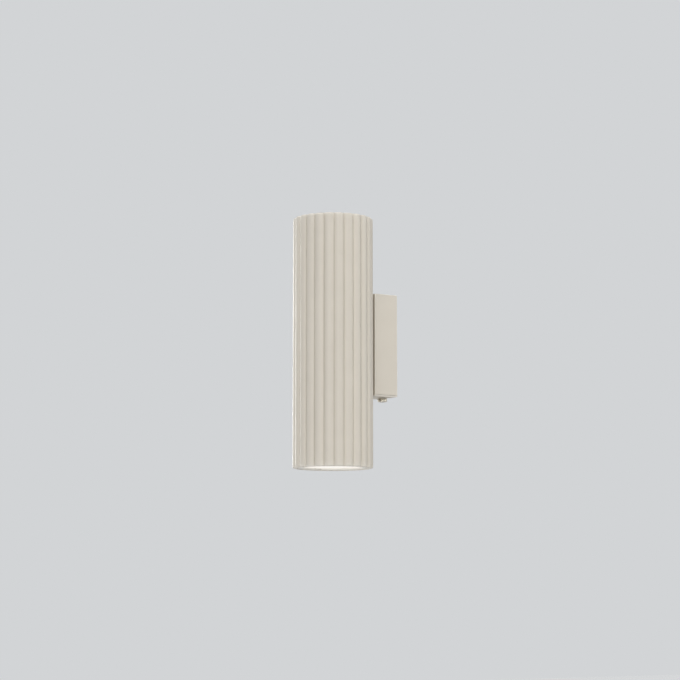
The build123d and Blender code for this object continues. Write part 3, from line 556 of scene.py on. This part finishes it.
def new_object(name, mesh):
    """An object in the scene from a mesh under construction, which is freed."""
    data = bpy.data.meshes.new(name)
    mesh.to_mesh(data)
    mesh.free()
    piece = bpy.data.objects.new(name, data)
    bpy.context.scene.collection.objects.link(piece)
    return piece


def tree_of(name, inputs):
    """A geometry tree with a mesh in, a mesh out and named inputs, given as (kind, default)."""
    tree = bpy.data.node_groups.new(name, "GeometryNodeTree")
    tree.interface.new_socket("Geometry", in_out="INPUT", socket_type="NodeSocketGeometry")
    tree.interface.new_socket("Geometry", in_out="OUTPUT", socket_type="NodeSocketGeometry")
    for label, (kind, default) in inputs.items():
        socket = tree.interface.new_socket(label, in_out="INPUT", socket_type=kind)
        if default is not None:
            socket.default_value = default
    return tree, add(tree, "NodeGroupInput")


def smooth_by_angle(tree, geometry, sharp_angle):
    """Smooth faces, with the edges sharper than that angle kept sharp."""
    smooth = add(
        tree,
        "GeometryNodeSetShadeSmooth",
        {"Geometry": geometry, "Shade Smooth": True},
        domain="FACE",
    )
    angle = add(tree, "GeometryNodeInputMeshEdgeAngle")
    sharp = add(
        tree,
        "FunctionNodeCompare",
        {0: angle.outputs["Unsigned Angle"], 1: sharp_angle},
        data_type="FLOAT",
        operation="GREATER_THAN",
    )
    edges = add(
        tree,
        "GeometryNodeSetShadeSmooth",
        {"Geometry": smooth.outputs[0], "Selection": sharp.outputs[0], "Shade Smooth": False},
        domain="EDGE",
    )
    return edges.outputs[0]


def keep_curve(tree, geometry, spread_steps, flat_bend):
    """Stores how the surface bends at each point: above 0 on an edge, below 0 in a groove. A point
    that bends less than flat_bend or lies on a big flat face gets 0, so that the lighter edge
    colour, partly worn edges and partly a painted highlight, stays at the edge."""
    angle = add(tree, "GeometryNodeInputMeshEdgeAngle")
    at_point = add(
        tree,
        "GeometryNodeFieldOnDomain",
        {0: angle.outputs["Signed Angle"]},
        data_type="FLOAT",
        domain="POINT",
    )
    least = maths(tree, "MULTIPLY", flat_bend, -1.0)
    flat_part = add(tree, "ShaderNodeClamp", {0: at_point.outputs[0], 1: least, 2: flat_bend})
    bent_part = maths(tree, "SUBTRACT", at_point.outputs[0], flat_part.outputs[0])
    spread = add(
        tree,
        "GeometryNodeBlurAttribute",
        {0: bent_part, "Iterations": spread_steps},
        data_type="FLOAT",
    )
    area = add(tree, "GeometryNodeInputMeshFaceArea")
    area_at_point = add(
        tree,
        "GeometryNodeFieldOnDomain",
        {0: area.outputs[0]},
        data_type="FLOAT",
        domain="POINT",
    )
    small = maths(tree, "LESS_THAN", area_at_point.outputs[0], BIG_FACE * MM * MM)
    bend = maths(tree, "MULTIPLY", spread.outputs[0], small)
    kept = add(
        tree,
        "GeometryNodeStoreNamedAttribute",
        {"Geometry": geometry, "Name": CURVE, "Value": bend},
        data_type="FLOAT",
        domain="POINT",
    )
    return kept.outputs[0]


def join_and_shade(tree, geometry, join_mm, wanted):
    """Joins points that meet, then stores how the mesh bends and smooths it as the inputs say."""
    joined = add(
        tree, "GeometryNodeMergeByDistance", {"Geometry": geometry, "Distance": join_mm * MM}
    )
    bent = keep_curve(tree, joined.outputs[0], wanted["Spread Steps"], wanted["Flat Bend"])
    return smooth_by_angle(tree, bent, wanted["Sharp Angle"])


def repeat_tree():
    """Repeats one sector about the tube's axis and joins the copies into one closed mesh."""
    tree, given = tree_of(
        "repeat_around_axis",
        {
            "Count": ("NodeSocketInt", RIB_COUNT),
            "Start Angle": ("NodeSocketFloat", 0.0),
            "Axis": ("NodeSocketVector", (0, axis_y * MM, 0)),
            "Material": ("NodeSocketMaterial", None),
            "Sharp Angle": ("NodeSocketFloat", SHARP_ANGLE),
            "Spread Steps": ("NodeSocketInt", SPREAD_STEPS),
            "Flat Bend": ("NodeSocketFloat", 0.0),
        },
    )
    wanted = given.outputs
    points = add(
        tree, "GeometryNodePoints", {"Count": wanted["Count"], "Position": wanted["Axis"]}
    )
    index = add(tree, "GeometryNodeInputIndex")
    step = maths(tree, "DIVIDE", 2 * math.pi, wanted["Count"])
    turn = maths(tree, "MULTIPLY_ADD", index.outputs[0], step, wanted["Start Angle"])
    rotation = add(tree, "ShaderNodeCombineXYZ", {"Z": turn})
    copies = add(
        tree,
        "GeometryNodeInstanceOnPoints",
        {
            "Points": points.outputs[0],
            "Instance": wanted["Geometry"],
            "Rotation": rotation.outputs[0],
        },
    )
    real = add(tree, "GeometryNodeRealizeInstances", {"Geometry": copies.outputs[0]})
    shaded = join_and_shade(tree, real.outputs[0], COPY_JOIN, wanted)
    painted = add(
        tree, "GeometryNodeSetMaterial", {"Geometry": shaded, "Material": wanted["Material"]}
    )
    add(tree, "NodeGroupOutput", {0: painted.outputs[0]})
    return tree


def shade_tree():
    """Joins loose triangles, smooths what is round and keeps what is an edge."""
    tree, given = tree_of(
        "smooth_what_is_round",
        {
            "Sharp Angle": ("NodeSocketFloat", SHARP_ANGLE),
            "Spread Steps": ("NodeSocketInt", 0),
            "Flat Bend": ("NodeSocketFloat", BEVEL_RIM_BEND),
        },
    )
    shaded = join_and_shade(tree, given.outputs["Geometry"], TRIANGLE_JOIN, given.outputs)
    add(tree, "NodeGroupOutput", {0: shaded})
    return tree


REPEAT = repeat_tree()
SHADE = shade_tree()


def make_plain(piece):
    """Turns what a piece's modifiers give into its plain mesh."""
    bpy.context.view_layer.update()
    graph = bpy.context.evaluated_depsgraph_get()
    result = bpy.data.meshes.new_from_object(piece.evaluated_get(graph))
    piece.modifiers.clear()
    piece.data = result


def add_tree(piece, tree, values=None):
    """Adds a geometry tree to a piece and sets its named inputs."""
    modifier = piece.modifiers.new(tree.name, "NODES")
    modifier.node_group = tree
    inputs = [item for item in tree.interface.items_tree if item.in_out == "INPUT"]
    sockets = {item.name: item.identifier for item in inputs}
    for label, value in (values or {}).items():
        modifier[sockets[label]] = value


def run_tree(piece, tree, values=None):
    """Runs a geometry tree on a piece and keeps its result as the piece's plain mesh."""
    add_tree(piece, tree, values)
    make_plain(piece)
    return piece


def settle(piece, node):
    """Paints a finished piece, sets it on its body and lets it stand for its CAD node."""
    slot = SLOT_OF_NODE[node]
    piece.data.materials.clear()
    piece.data.materials.append(FINISH_OF_SLOT[slot])
    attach(piece, frame["nodes"][node]["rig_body"])
    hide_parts(node)


def repeated(name, node, outlines, angles, count, start_angle=0.0):
    """A piece whose sector, given by its outlines at these angles, repeats about the axis."""
    sector = new_object(name, turned_grid(outlines, angles, closed=False))
    coat = FINISH_OF_SLOT[SLOT_OF_NODE[node]]
    values = {"Count": count, "Start Angle": start_angle, "Material": coat}
    return run_tree(sector, REPEAT, values)


def turned(name, node, corners, side, segments=TURNED_SIDES, steps=ROUND_STEPS):
    """A piece turned about the tube's axis from (radius, depth from one end, round) corners,
    shaded and settled."""
    outline = [(r, side * (half_length - depth)) for r, depth in rounded(corners, steps)]
    angles = [2 * math.pi * k / segments for k in range(segments)]
    piece = new_object(name, turned_grid([outline] * segments, angles, closed=True))
    for vertex in piece.data.vertices:
        vertex.co.y += axis_y * MM
    run_tree(piece, SHADE, {"Flat Bend": ROUND_BEND})
    settle(piece, node)


# ---------------------------------------------------------------- what is cut from the tube and box
TUBE_SCREW_Z = 37.0
SCREW_HOLE_RADIUS = 2.3
BUSH_HOLE_RADIUS = 6.2
BLOCK_SCREW_HOLE_RADIUS = 1.15
CUTTER_SIDES = 48
PAST = 1.0  # how far a cutter reaches past what it cuts

cover_low, cover_high = [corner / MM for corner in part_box("bracket_cover")]
block_screw_low, block_screw_high = [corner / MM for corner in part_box("block_screw")]


def cutter_box(mesh, low, high):
    """Adds a closed box between two corners, in mm."""
    middle = [(a + b) / 2 * MM for a, b in zip(low, high)]
    size = [(b - a) * MM for a, b in zip(low, high)]
    made = bmesh.ops.create_cube(mesh, size=1.0)
    bmesh.ops.scale(mesh, verts=made["verts"], vec=size)
    bmesh.ops.translate(mesh, verts=made["verts"], vec=middle)


def cutter_rod(mesh, centre, radius, length, axis):
    """Adds a closed rod about Y or Z through a centre, in mm."""
    made = bmesh.ops.create_cone(
        mesh,
        cap_ends=True,
        segments=CUTTER_SIDES,
        radius1=radius * MM,
        radius2=radius * MM,
        depth=length * MM,
    )
    if axis == "Y":
        bmesh.ops.rotate(mesh, verts=made["verts"], matrix=Matrix.Rotation(math.pi / 2, 3, "X"))
    bmesh.ops.translate(mesh, verts=made["verts"], vec=[c * MM for c in centre])


def rear_holes(name, front, rear, with_block_screw):
    """Rods for the tube's two screws and the bush, and for the terminal block's screw."""
    mesh = bmesh.new()
    length = rear - front
    middle = (rear + front) / 2
    cutter_rod(mesh, (0, middle, TUBE_SCREW_Z), SCREW_HOLE_RADIUS, length, "Y")
    cutter_rod(mesh, (0, middle, -TUBE_SCREW_Z), SCREW_HOLE_RADIUS, length, "Y")
    cutter_rod(mesh, (0, middle, 0), BUSH_HOLE_RADIUS, length, "Y")
    if with_block_screw:
        block_screw_z = (block_screw_low.z + block_screw_high.z) / 2
        cutter_rod(mesh, (0, middle, block_screw_z), BLOCK_SCREW_HOLE_RADIUS, length, "Y")
    return new_object(name, mesh)


def cut(piece, cutter):
    """Cuts a cutter out of a piece and removes the cutter."""
    modifier = piece.modifiers.new("cut", "BOOLEAN")
    modifier.operation = "DIFFERENCE"
    modifier.solver = "EXACT"
    modifier.use_self = True
    modifier.object = cutter
    make_plain(piece)
    bpy.data.objects.remove(cutter)


# ---------------------------------------------------------------- reeded tube
rib_angle = math.pi / RIB_COUNT
valley_radius = CREST_RADIUS - RIB_DEPTH
bore_radius = valley_radius - TUBE_WALL
mouth_radius = bore_radius + MOUTH_STEP
half_chord = valley_radius * math.sin(rib_angle)
rise = CREST_RADIUS - valley_radius * math.cos(rib_angle)
rib_radius = (half_chord**2 + rise**2) / (2 * rise)
rib_centre = CREST_RADIUS - rib_radius
round_reach = rib_radius + VALLEY_ROUND
round_centre = rib_centre * math.cos(rib_angle) + math.sqrt(
    round_reach**2 - (rib_centre * math.sin(rib_angle)) ** 2
)
touch_x = rib_centre + (round_centre * math.cos(rib_angle) - rib_centre) * rib_radius / round_reach
touch_y = round_centre * math.sin(rib_angle) * rib_radius / round_reach
touch_angle = math.atan2(touch_y, touch_x)


def reed_radius(angle):
    """The outer radius at an angle from a rib's middle: the rib's arc, then the valley's round."""
    off = abs(angle)
    if off <= touch_angle:
        sideways = rib_centre * math.sin(off)
        return rib_centre * math.cos(off) + math.sqrt(rib_radius**2 - sideways**2)
    off = rib_angle - off
    sideways = round_centre * math.sin(off)
    return round_centre * math.cos(off) - math.sqrt(max(VALLEY_ROUND**2 - sideways**2, 0.0))


def tube_outline(angle):
    """The wall's section at one angle: outside from the upper rim down, then up the bore."""
    reed = reed_radius(angle)
    turns = [math.pi / 2 * k / RIM_STEPS for k in range(RIM_STEPS + 1)]
    rim = [(reed - RIM_ROUND * (1 - math.sin(t)), RIM_ROUND * (1 - math.cos(t))) for t in turns]
    outside = rim + [(reed, depth) for depth in (*LOOP_DEPTHS, half_length)]
    inside = rounded(
        [
            (mouth_radius, 0.0, EDGE_ROUND),
            (mouth_radius, MOUTH_DEPTH, EDGE_ROUND / 2),
            (bore_radius, MOUTH_DEPTH, EDGE_ROUND),
            (bore_radius, half_length, 0),
            (rim[0][0], half_length, 0),
            (rim[0][0], 0.0, 0),
        ],
        steps=2,
    )[:-2]
    upper = [(r, half_length - depth) for r, depth in outside]
    lower = [(r, depth - half_length) for r, depth in reversed(outside[:-1])]
    lower_inside = [(r, depth - half_length) for r, depth in inside[:-1]]
    upper_inside = [(r, half_length - depth) for r, depth in reversed(inside)]
    return upper + lower + lower_inside + upper_inside


arc_angles = [touch_angle * k / REED_STEPS for k in range(-REED_STEPS, REED_STEPS + 1)]
valley_angles = [
    touch_angle + (rib_angle - touch_angle) * k / VALLEY_STEPS for k in range(1, VALLEY_STEPS + 1)
]
reed_angles = [-a for a in reversed(valley_angles)] + arc_angles + valley_angles
tube = repeated(
    "reeded_tube",
    "tube_shell",
    [tube_outline(a) for a in reed_angles],
    reed_angles,
    RIB_COUNT,
    math.pi / 2 + rib_angle,
)
cut(tube, rear_holes("tube_cutters", axis_y, cover_low.y + PAST, with_block_screw=False))
# The tube's rims and edges take the lighter edge colour, partly worn and partly a painted
# highlight, and its grooves a painted shade spread over the reeds.
run_tree(tube, SHADE, {"Spread Steps": SPREAD_STEPS, "Flat Bend": CREST_BEND})
settle(tube, "tube_shell")

# ---------------------------------------------------------------- rings, glasses and lamps
ring_radius = mouth_radius - RING_GAP
cup_radius = ring_radius - RING_WALL
glass_low, glass_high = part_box("upper_glass")
glass_radius = (glass_high.x - glass_low.x) / 2 / MM
glass_depth = half_length - glass_high.z / MM
glass_thick = (glass_high.z - glass_low.z) / MM
lip_radius = glass_radius - LIP_OVER_GLASS
ring_end = half_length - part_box("upper_glass_ring")[0].z / MM
groove_half = SEAL_RADIUS + GROOVE_ROOM
seal_centre = ring_radius + RING_GAP - SEAL_INSET - SEAL_RADIUS
groove_floor = seal_centre - groove_half


def ring_outline(side, notched):
    """The screw-in ring's section at one end, with its lip cut down where a spanner notch is."""
    notch_radius = lip_radius + NOTCH_INTO_LIP
    outline = rounded(
        [
            (notch_radius, RING_RECESS, 0),
            (notch_radius + NOTCH_BACK, RING_RECESS, 0),
            (ring_radius, RING_RECESS, RING_FACE_ROUND),
            (ring_radius, SEAL_DEPTH - groove_half, GROOVE_ROUND),
            (groove_floor, SEAL_DEPTH - groove_half, GROOVE_ROUND),
            (groove_floor, SEAL_DEPTH + groove_half, GROOVE_ROUND),
            (ring_radius, SEAL_DEPTH + groove_half, GROOVE_ROUND),
            (ring_radius, ring_end, EDGE_ROUND),
            (cup_radius, ring_end, CUP_ROUND),
            (cup_radius, glass_depth, SEAT_ROUND),
            (lip_radius, glass_depth, SEAT_ROUND),
            (lip_radius, RING_RECESS, EDGE_ROUND),
        ],
        steps=3,
    )
    floor = RING_RECESS + NOTCH_DEPTH
    if notched:
        outline = [
            (r, floor) if r <= notch_radius and d < floor else (r, d) for r, d in outline
        ]
    return [(r, side * (half_length - d)) for r, d in outline]


def make_ring(end, side):
    """The screw-in ring of one end with its glass, gasket and seal."""
    notch_edge = math.radians(NOTCH_HALF_WIDTH)
    plain_from = notch_edge + math.radians(NOTCH_WALL)
    plain_span = math.pi / NOTCH_COUNT - plain_from
    plain_angles = [plain_from + plain_span * k / PLAIN_STEPS for k in range(PLAIN_STEPS + 1)]
    notch_angles = [notch_edge * k / NOTCH_STEPS for k in range(-NOTCH_STEPS, NOTCH_STEPS + 1)]
    angles = [-a for a in reversed(plain_angles)] + notch_angles + plain_angles
    outlines = [ring_outline(side, abs(a) < plain_from) for a in angles]
    start = -side * math.radians(NOTCH_ANGLE)
    ring_node = f"{end}_glass_ring"
    settle(
        repeated(f"{end}_spanner_ring", ring_node, outlines, angles, NOTCH_COUNT, start), ring_node
    )
    turned(
        f"{end}_frosted_glass",
        f"{end}_glass",
        [
            (0, glass_depth, 0),
            (glass_radius, glass_depth, GLASS_ROUND),
            (glass_radius, glass_depth + glass_thick, GLASS_ROUND),
            (0, glass_depth + glass_thick, 0),
        ],
        side,
    )
    gasket_low, gasket_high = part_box(f"{end}_glass_gasket")
    gasket_depth = glass_depth + glass_thick
    gasket_thick = (gasket_high.z - gasket_low.z) / MM
    turned(
        f"{end}_gasket_ring",
        f"{end}_glass_gasket",
        [
            (cup_radius - GASKET_WIDTH, gasket_depth, GASKET_ROUND),
            (cup_radius, gasket_depth, GASKET_ROUND),
            (cup_radius, gasket_depth + gasket_thick, GASKET_ROUND),
            (cup_radius - GASKET_WIDTH, gasket_depth + gasket_thick, GASKET_ROUND),
        ],
        side,
    )
    circle = [2 * math.pi * k / SEAL_SIDES for k in range(SEAL_SIDES)]
    turned(
        f"{end}_o_ring",
        f"{end}_ring_seal",
        [
            (seal_centre + SEAL_RADIUS * math.cos(t), SEAL_DEPTH + SEAL_RADIUS * math.sin(t), 0)
            for t in circle
        ],
        side,
    )


def make_lamp(end, side):
    """The lamp of one end: its ribbed housing and its lens with moulded rings."""
    low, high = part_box(f"{end}_lamp_body")
    body_radius = (high.x - low.x) / 2 / MM
    face_depth = half_length - max(abs(low.z), abs(high.z)) / MM
    body_height = (high.z - low.z) / MM
    lens_low, lens_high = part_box(f"{end}_lamp_lens")
    lens_radius = (lens_high.x - lens_low.x) / 2 / MM
    base_low, base_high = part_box(f"{end}_lamp_base")
    base_radius = (base_high.x - base_low.x) / 2 / MM
    waist_radius = base_radius + WAIST_ROOM

    def housing_outline(angle):
        """The housing's section at one angle, drawn in between two fins."""
        lean = FIN_DEPTH * (0.5 + 0.5 * math.cos(FIN_COUNT * angle)) ** 2
        corners = [
            (0, face_depth + LENS_BED, 0),
            (lens_radius + LENS_GAP, face_depth + LENS_BED, 0),
            (lens_radius + LENS_GAP, face_depth, 0.15),
            (body_radius, face_depth, 0.8),
            (body_radius, face_depth + COLLAR_DEPTH, 0.6),
            (body_radius - CONE_INSET - lean, face_depth + CONE_START, 0.4),
            (waist_radius + WAIST_FLARE - lean, face_depth + CONE_END, 0.4),
            (waist_radius - NECK_INSET, face_depth + NECK_DEPTH, 0.4),
            (base_radius, face_depth + body_height, 0),
            (0, face_depth + body_height, 0),
        ]
        return [(r, side * (half_length - d)) for r, d in rounded(corners, 2)]

    fin_half = math.pi / FIN_COUNT
    fin_angles = [fin_half * k / FIN_STEPS for k in range(-FIN_STEPS, FIN_STEPS + 1)]
    body_node = f"{end}_lamp_body"
    housing_outlines = [housing_outline(a) for a in fin_angles]
    housing_piece = repeated(
        f"{end}_lamp_housing", body_node, housing_outlines, fin_angles, FIN_COUNT
    )
    settle(housing_piece, body_node)
    lens_depth = face_depth + LENS_RECESS
    lens_back = half_length - min(abs(lens_low.z), abs(lens_high.z)) / MM
    ring_step = (lens_radius - LENS_RIM) / LENS_RINGS
    ripples = []
    for k in range(LENS_RINGS):
        ripples.append((LENS_EYE + k * ring_step, lens_depth + LENS_RIPPLE, 0.2))
        ripples.append((LENS_EYE + (k + 0.5) * ring_step, lens_depth, 0.3))
    turned(
        f"{end}_lamp_front",
        f"{end}_lamp_lens",
        [
            (0, lens_depth, 0),
            *ripples,
            (lens_radius, lens_depth + LENS_RECESS, 0.15),
            (lens_radius, lens_back, 0),
            (0, lens_back, 0),
        ],
        side,
        segments=LENS_SIDES,
        steps=2,
    )


for end, side in ENDS.items():
    make_ring(end, side)
    make_lamp(end, side)

# ---------------------------------------------------------------- box cover
COVER_SHEET = 1.2
COVER_FRONT_ROUND = 1.0
COVER_REAR_ROUND = 1.1
COVER_SIDE_ROUND = 0.9
COVER_SEAM = 0.3
COVER_EDGE_ROUND = 0.35
COVER_ROUND_STEPS = 5
INNER_CORNER_SHARE = 0.1  # of the side round, inside the box
SLOT_TO_WALL = 8.4
SLOT_PAST = 0.5  # how far the slot's cutter reaches below the box
SLOT_INTO_SEAM = 0.1


def cover_loop(y, inset):
    """A loop round the box at one depth, set in from its outer faces."""
    share = max(1 - inset / COVER_SHEET, INNER_CORNER_SHARE)
    left, right = cover_low.x + inset, cover_high.x - inset
    low, high = cover_low.z + inset, cover_high.z - inset
    places = [(right, low), (right, high), (left, high), (left, low)]
    corners = [(x, z, COVER_SIDE_ROUND * share) for x, z in places]
    return [(x, y, z) for x, z in rounded(corners)]


def cover_mesh():
    """The box as one closed sheet: front, rounded edges, sides and rear edge, then back along the
    inside."""
    front, rear = cover_low.y, cover_high.y
    turns = [math.pi / 2 * k / COVER_ROUND_STEPS for k in range(COVER_ROUND_STEPS + 1)]
    loops = []
    for turn in reversed(turns):
        back = COVER_FRONT_ROUND * (1 - math.sin(turn))
        loops.append(cover_loop(front + back, COVER_FRONT_ROUND * (1 - math.cos(turn))))
    for turn in turns:
        back = COVER_REAR_ROUND * (1 - math.sin(turn))
        loops.append(cover_loop(rear - back, COVER_REAR_ROUND * (1 - math.cos(turn))))
    loops += [cover_loop(rear, COVER_SHEET), cover_loop(front + COVER_SHEET, COVER_SHEET)]
    mesh = bmesh.new()
    rows = [[mesh.verts.new([c * MM for c in point]) for point in loop] for loop in loops]
    for here, there in zip(rows, rows[1:]):
        for k in range(len(here)):
            after = (k + 1) % len(here)
            mesh.faces.new((here[k], here[after], there[after], there[k]))
    mesh.faces.new(rows[0])
    mesh.faces.new(list(reversed(rows[-1])))
    bmesh.ops.recalc_face_normals(mesh, faces=mesh.faces)
    return mesh


def fold_gaps():
    """The seams where the folded bottom passes under the sides, and the slot that slides past its
    screw. The slot's cutter ends inside the seam, so that no two cutter faces share a plane."""
    floor_z = cover_low.z + COVER_SHEET
    inner_y = cover_low.y + COVER_SHEET
    mesh = bmesh.new()
    cutter_box(
        mesh,
        (cover_low.x - PAST, inner_y, floor_z),
        (cover_high.x + PAST, PAST, floor_z + COVER_SEAM),
    )
    slot_low = cover_low.z - SLOT_PAST
    slot_high = floor_z + SLOT_INTO_SEAM
    slot_end = (0, -SLOT_TO_WALL, (slot_low + slot_high) / 2)
    cutter_rod(mesh, slot_end, SCREW_HOLE_RADIUS, slot_high - slot_low, "Z")
    cutter_box(
        mesh,
        (-SCREW_HOLE_RADIUS, -SLOT_TO_WALL, slot_low),
        (SCREW_HOLE_RADIUS, PAST, slot_high),
    )
    return new_object("fold_gaps", mesh)


def soften(piece, width, flat_bend=BEVEL_RIM_BEND):
    """Rounds a piece's edges, keeps its flat faces flat to the light and stores how it bends."""
    weld = piece.modifiers.new("joined", "WELD")
    weld.merge_threshold = TRIANGLE_JOIN * MM
    flats = piece.modifiers.new("whole flats", "DECIMATE")
    flats.decimate_type = "DISSOLVE"
    flats.angle_limit = FLAT_ANGLE
    edges = piece.modifiers.new("soft edges", "BEVEL")
    edges.width = width * MM
    edges.segments = 2
    edges.loop_slide = False
    edges.limit_method = "ANGLE"
    edges.angle_limit = BEVEL_ANGLE
    add_tree(piece, SHADE, {"Flat Bend": flat_bend})
    even = piece.modifiers.new("even shading", "WEIGHTED_NORMAL")
    even.keep_sharp = True


cover = new_object("folded_cover", cover_mesh())
cut(cover, fold_gaps())
cover_front = (cover_low.y - PAST, cover_low.y + 2 * COVER_SHEET)
cut(cover, rear_holes("cover_cutters", *cover_front, with_block_screw=True))
# The box's rounds take the lighter edge colour, partly worn and partly a painted highlight.
soften(cover, COVER_EDGE_ROUND, ROUND_BEND)
make_plain(cover)
settle(cover, "bracket_cover")

# ---------------------------------------------------------------- the other pieces, as in the CAD
EDGE_OF_NODE = {
    "wall_plate": 0.25,
    "cable_grommet": 0.2,
    "cover_screw": 0.08,
    "cover_screw_washer": 0.15,
    "terminal_block": 0.3,
    "upper_lamp_holder": 0.4,
    "lower_lamp_holder": 0.4,
    "lamp_frame": 0.25,
    "wire_bush": 0.2,
    "frame_earth_tag": 0.1,
    "terminal_clamps": 0.1,
    "lug_nut": 0.12,
    "tube_nuts": 0.12,
    "earth_stud_nut": 0.12,
}
SMALL_EDGE = 0.06
for name, node in frame["nodes"].items():
    if name not in SLOT_OF_NODE or node.hide_render:
        continue
    node.data.materials.clear()
    node.data.materials.append(FINISH_OF_SLOT[SLOT_OF_NODE[name]])
    if name.endswith("_lead"):
        add_tree(node, SHADE)
    else:
        soften(node, EDGE_OF_NODE.get(name, SMALL_EDGE))

# ---------------------------------------------------------------- floor, light and camera
FLOOR_Z = -1.1
FLOOR_SIZE = 30.0
FLOOR_GLOW = 0.72  # brings the floor to the backdrop's tone
AMBIENT = 0.42
PALE = "#d2d4d6"


def seen_directly(tree):
    """1 for a ray from the eye or a reflection, else 0, so that what is pale to the eye doesn't
    light the object."""
    rays = add(tree, "ShaderNodeLightPath")
    return maths(tree, "MAXIMUM", rays.outputs["Is Camera Ray"], rays.outputs["Is Glossy Ray"])


floor_mesh = bmesh.new()
bmesh.ops.create_grid(floor_mesh, x_segments=1, y_segments=1, size=FLOOR_SIZE / 2)
floor = new_object("floor", floor_mesh)
floor.location.z = FLOOR_Z
floor_paint, floor_tree = new_material("pale_floor")
glow = maths(floor_tree, "MULTIPLY", seen_directly(floor_tree), FLOOR_GLOW)
floor_inputs = {
    "Base Color": srgb("#adaba8"),
    "Roughness": 0.8,
    "Emission Color": srgb(PALE),
    "Emission Strength": glow,
}
floor.data.materials.append(paint(floor_paint, floor_tree, floor_inputs))

world = bpy.data.worlds.new("studio")
bpy.context.scene.world = world
world.use_nodes = True
world.node_tree.nodes.clear()
backdrop = add(world.node_tree, "ShaderNodeBackground", {"Color": srgb(PALE), "Strength": 1.0})
ambient_light = {"Color": srgb("#eef1f5"), "Strength": AMBIENT}
ambient = add(world.node_tree, "ShaderNodeBackground", ambient_light)
chosen = add(
    world.node_tree,
    "ShaderNodeMixShader",
    {0: seen_directly(world.node_tree), 1: ambient.outputs[0], 2: backdrop.outputs[0]},
)
add(world.node_tree, "ShaderNodeOutputWorld", {"Surface": chosen.outputs[0]})

tube_centre = Vector((0, axis_y * MM, 0))


def around(azimuth, elevation, distance):
    """The way to a point that far from the tube's centre. Azimuth 0 is straight out from the wall,
    and 90 is at +X."""
    a, e = math.radians(azimuth), math.radians(elevation)
    return Vector((math.sin(a) * math.cos(e), -math.cos(a) * math.cos(e), math.sin(e))) * distance


def softbox(name, azimuth, elevation, distance, size, watts, colour):
    """A square area light that far from the tube's centre and turned to it."""
    lamp = bpy.data.lights.new(name, "AREA")
    lamp.shape = "SQUARE"
    lamp.size = size
    lamp.energy = watts
    lamp.color = srgb(colour)[:3]
    box = bpy.data.objects.new(name, lamp)
    bpy.context.scene.collection.objects.link(box)
    box.location = tube_centre + around(azimuth, elevation, distance)
    box.rotation_euler = (tube_centre - box.location).to_track_quat("-Z", "Y").to_euler()


# azimuth, elevation, distance, size, watts and colour
softbox("front_softbox", 55, 10, 1.6, 0.7, 4.0, "#fffdf8")
softbox("right_softbox", 115, 15, 1.6, 0.7, 4.0, "#fffdf8")
softbox("left_softbox", -88, 6, 1.6, 0.7, 9.5, "#fffdf8")
softbox("wall_side_softbox", 158, 8, 1.6, 0.7, 3.4, "#fffdf8")
softbox("top_softbox", 45, 60, 1.3, 0.5, 6.2, "#ffffff")
softbox("top_left_softbox", -40, 60, 1.6, 0.7, 3.6, "#ffffff")
softbox("under_softbox", 55, -48, 1.3, 0.6, 6.6, "#ffffff")
softbox("under_left_softbox", -50, -30, 1.5, 0.7, 3.6, "#ffffff")

CAMERA_AZIMUTH = 58.0
CAMERA_ELEVATION = -7.4
CAMERA_DISTANCE = 1.967
FOCAL_PIXELS = 1975.6
PHOTO_PIXELS = 680
SENSOR_WIDTH = 36.0
AIM_RIGHT = 0.0071
AIM_UP = 0.003

camera_data = bpy.data.cameras.new("camera")
camera_data.sensor_width = SENSOR_WIDTH
camera_data.lens = FOCAL_PIXELS / PHOTO_PIXELS * camera_data.sensor_width
camera = bpy.data.objects.new("camera", camera_data)
bpy.context.scene.collection.objects.link(camera)
camera_turn = math.radians(CAMERA_AZIMUTH)
to_right = Vector((math.cos(camera_turn), math.sin(camera_turn), 0))
aim = tube_centre + to_right * AIM_RIGHT + Vector((0, 0, AIM_UP))
camera.location = aim + around(CAMERA_AZIMUTH, CAMERA_ELEVATION, CAMERA_DISTANCE)
camera.rotation_euler = (aim - camera.location).to_track_quat("-Z", "Y").to_euler()
bpy.context.scene.camera = camera
bpy.context.scene.view_settings.view_transform = "Standard"
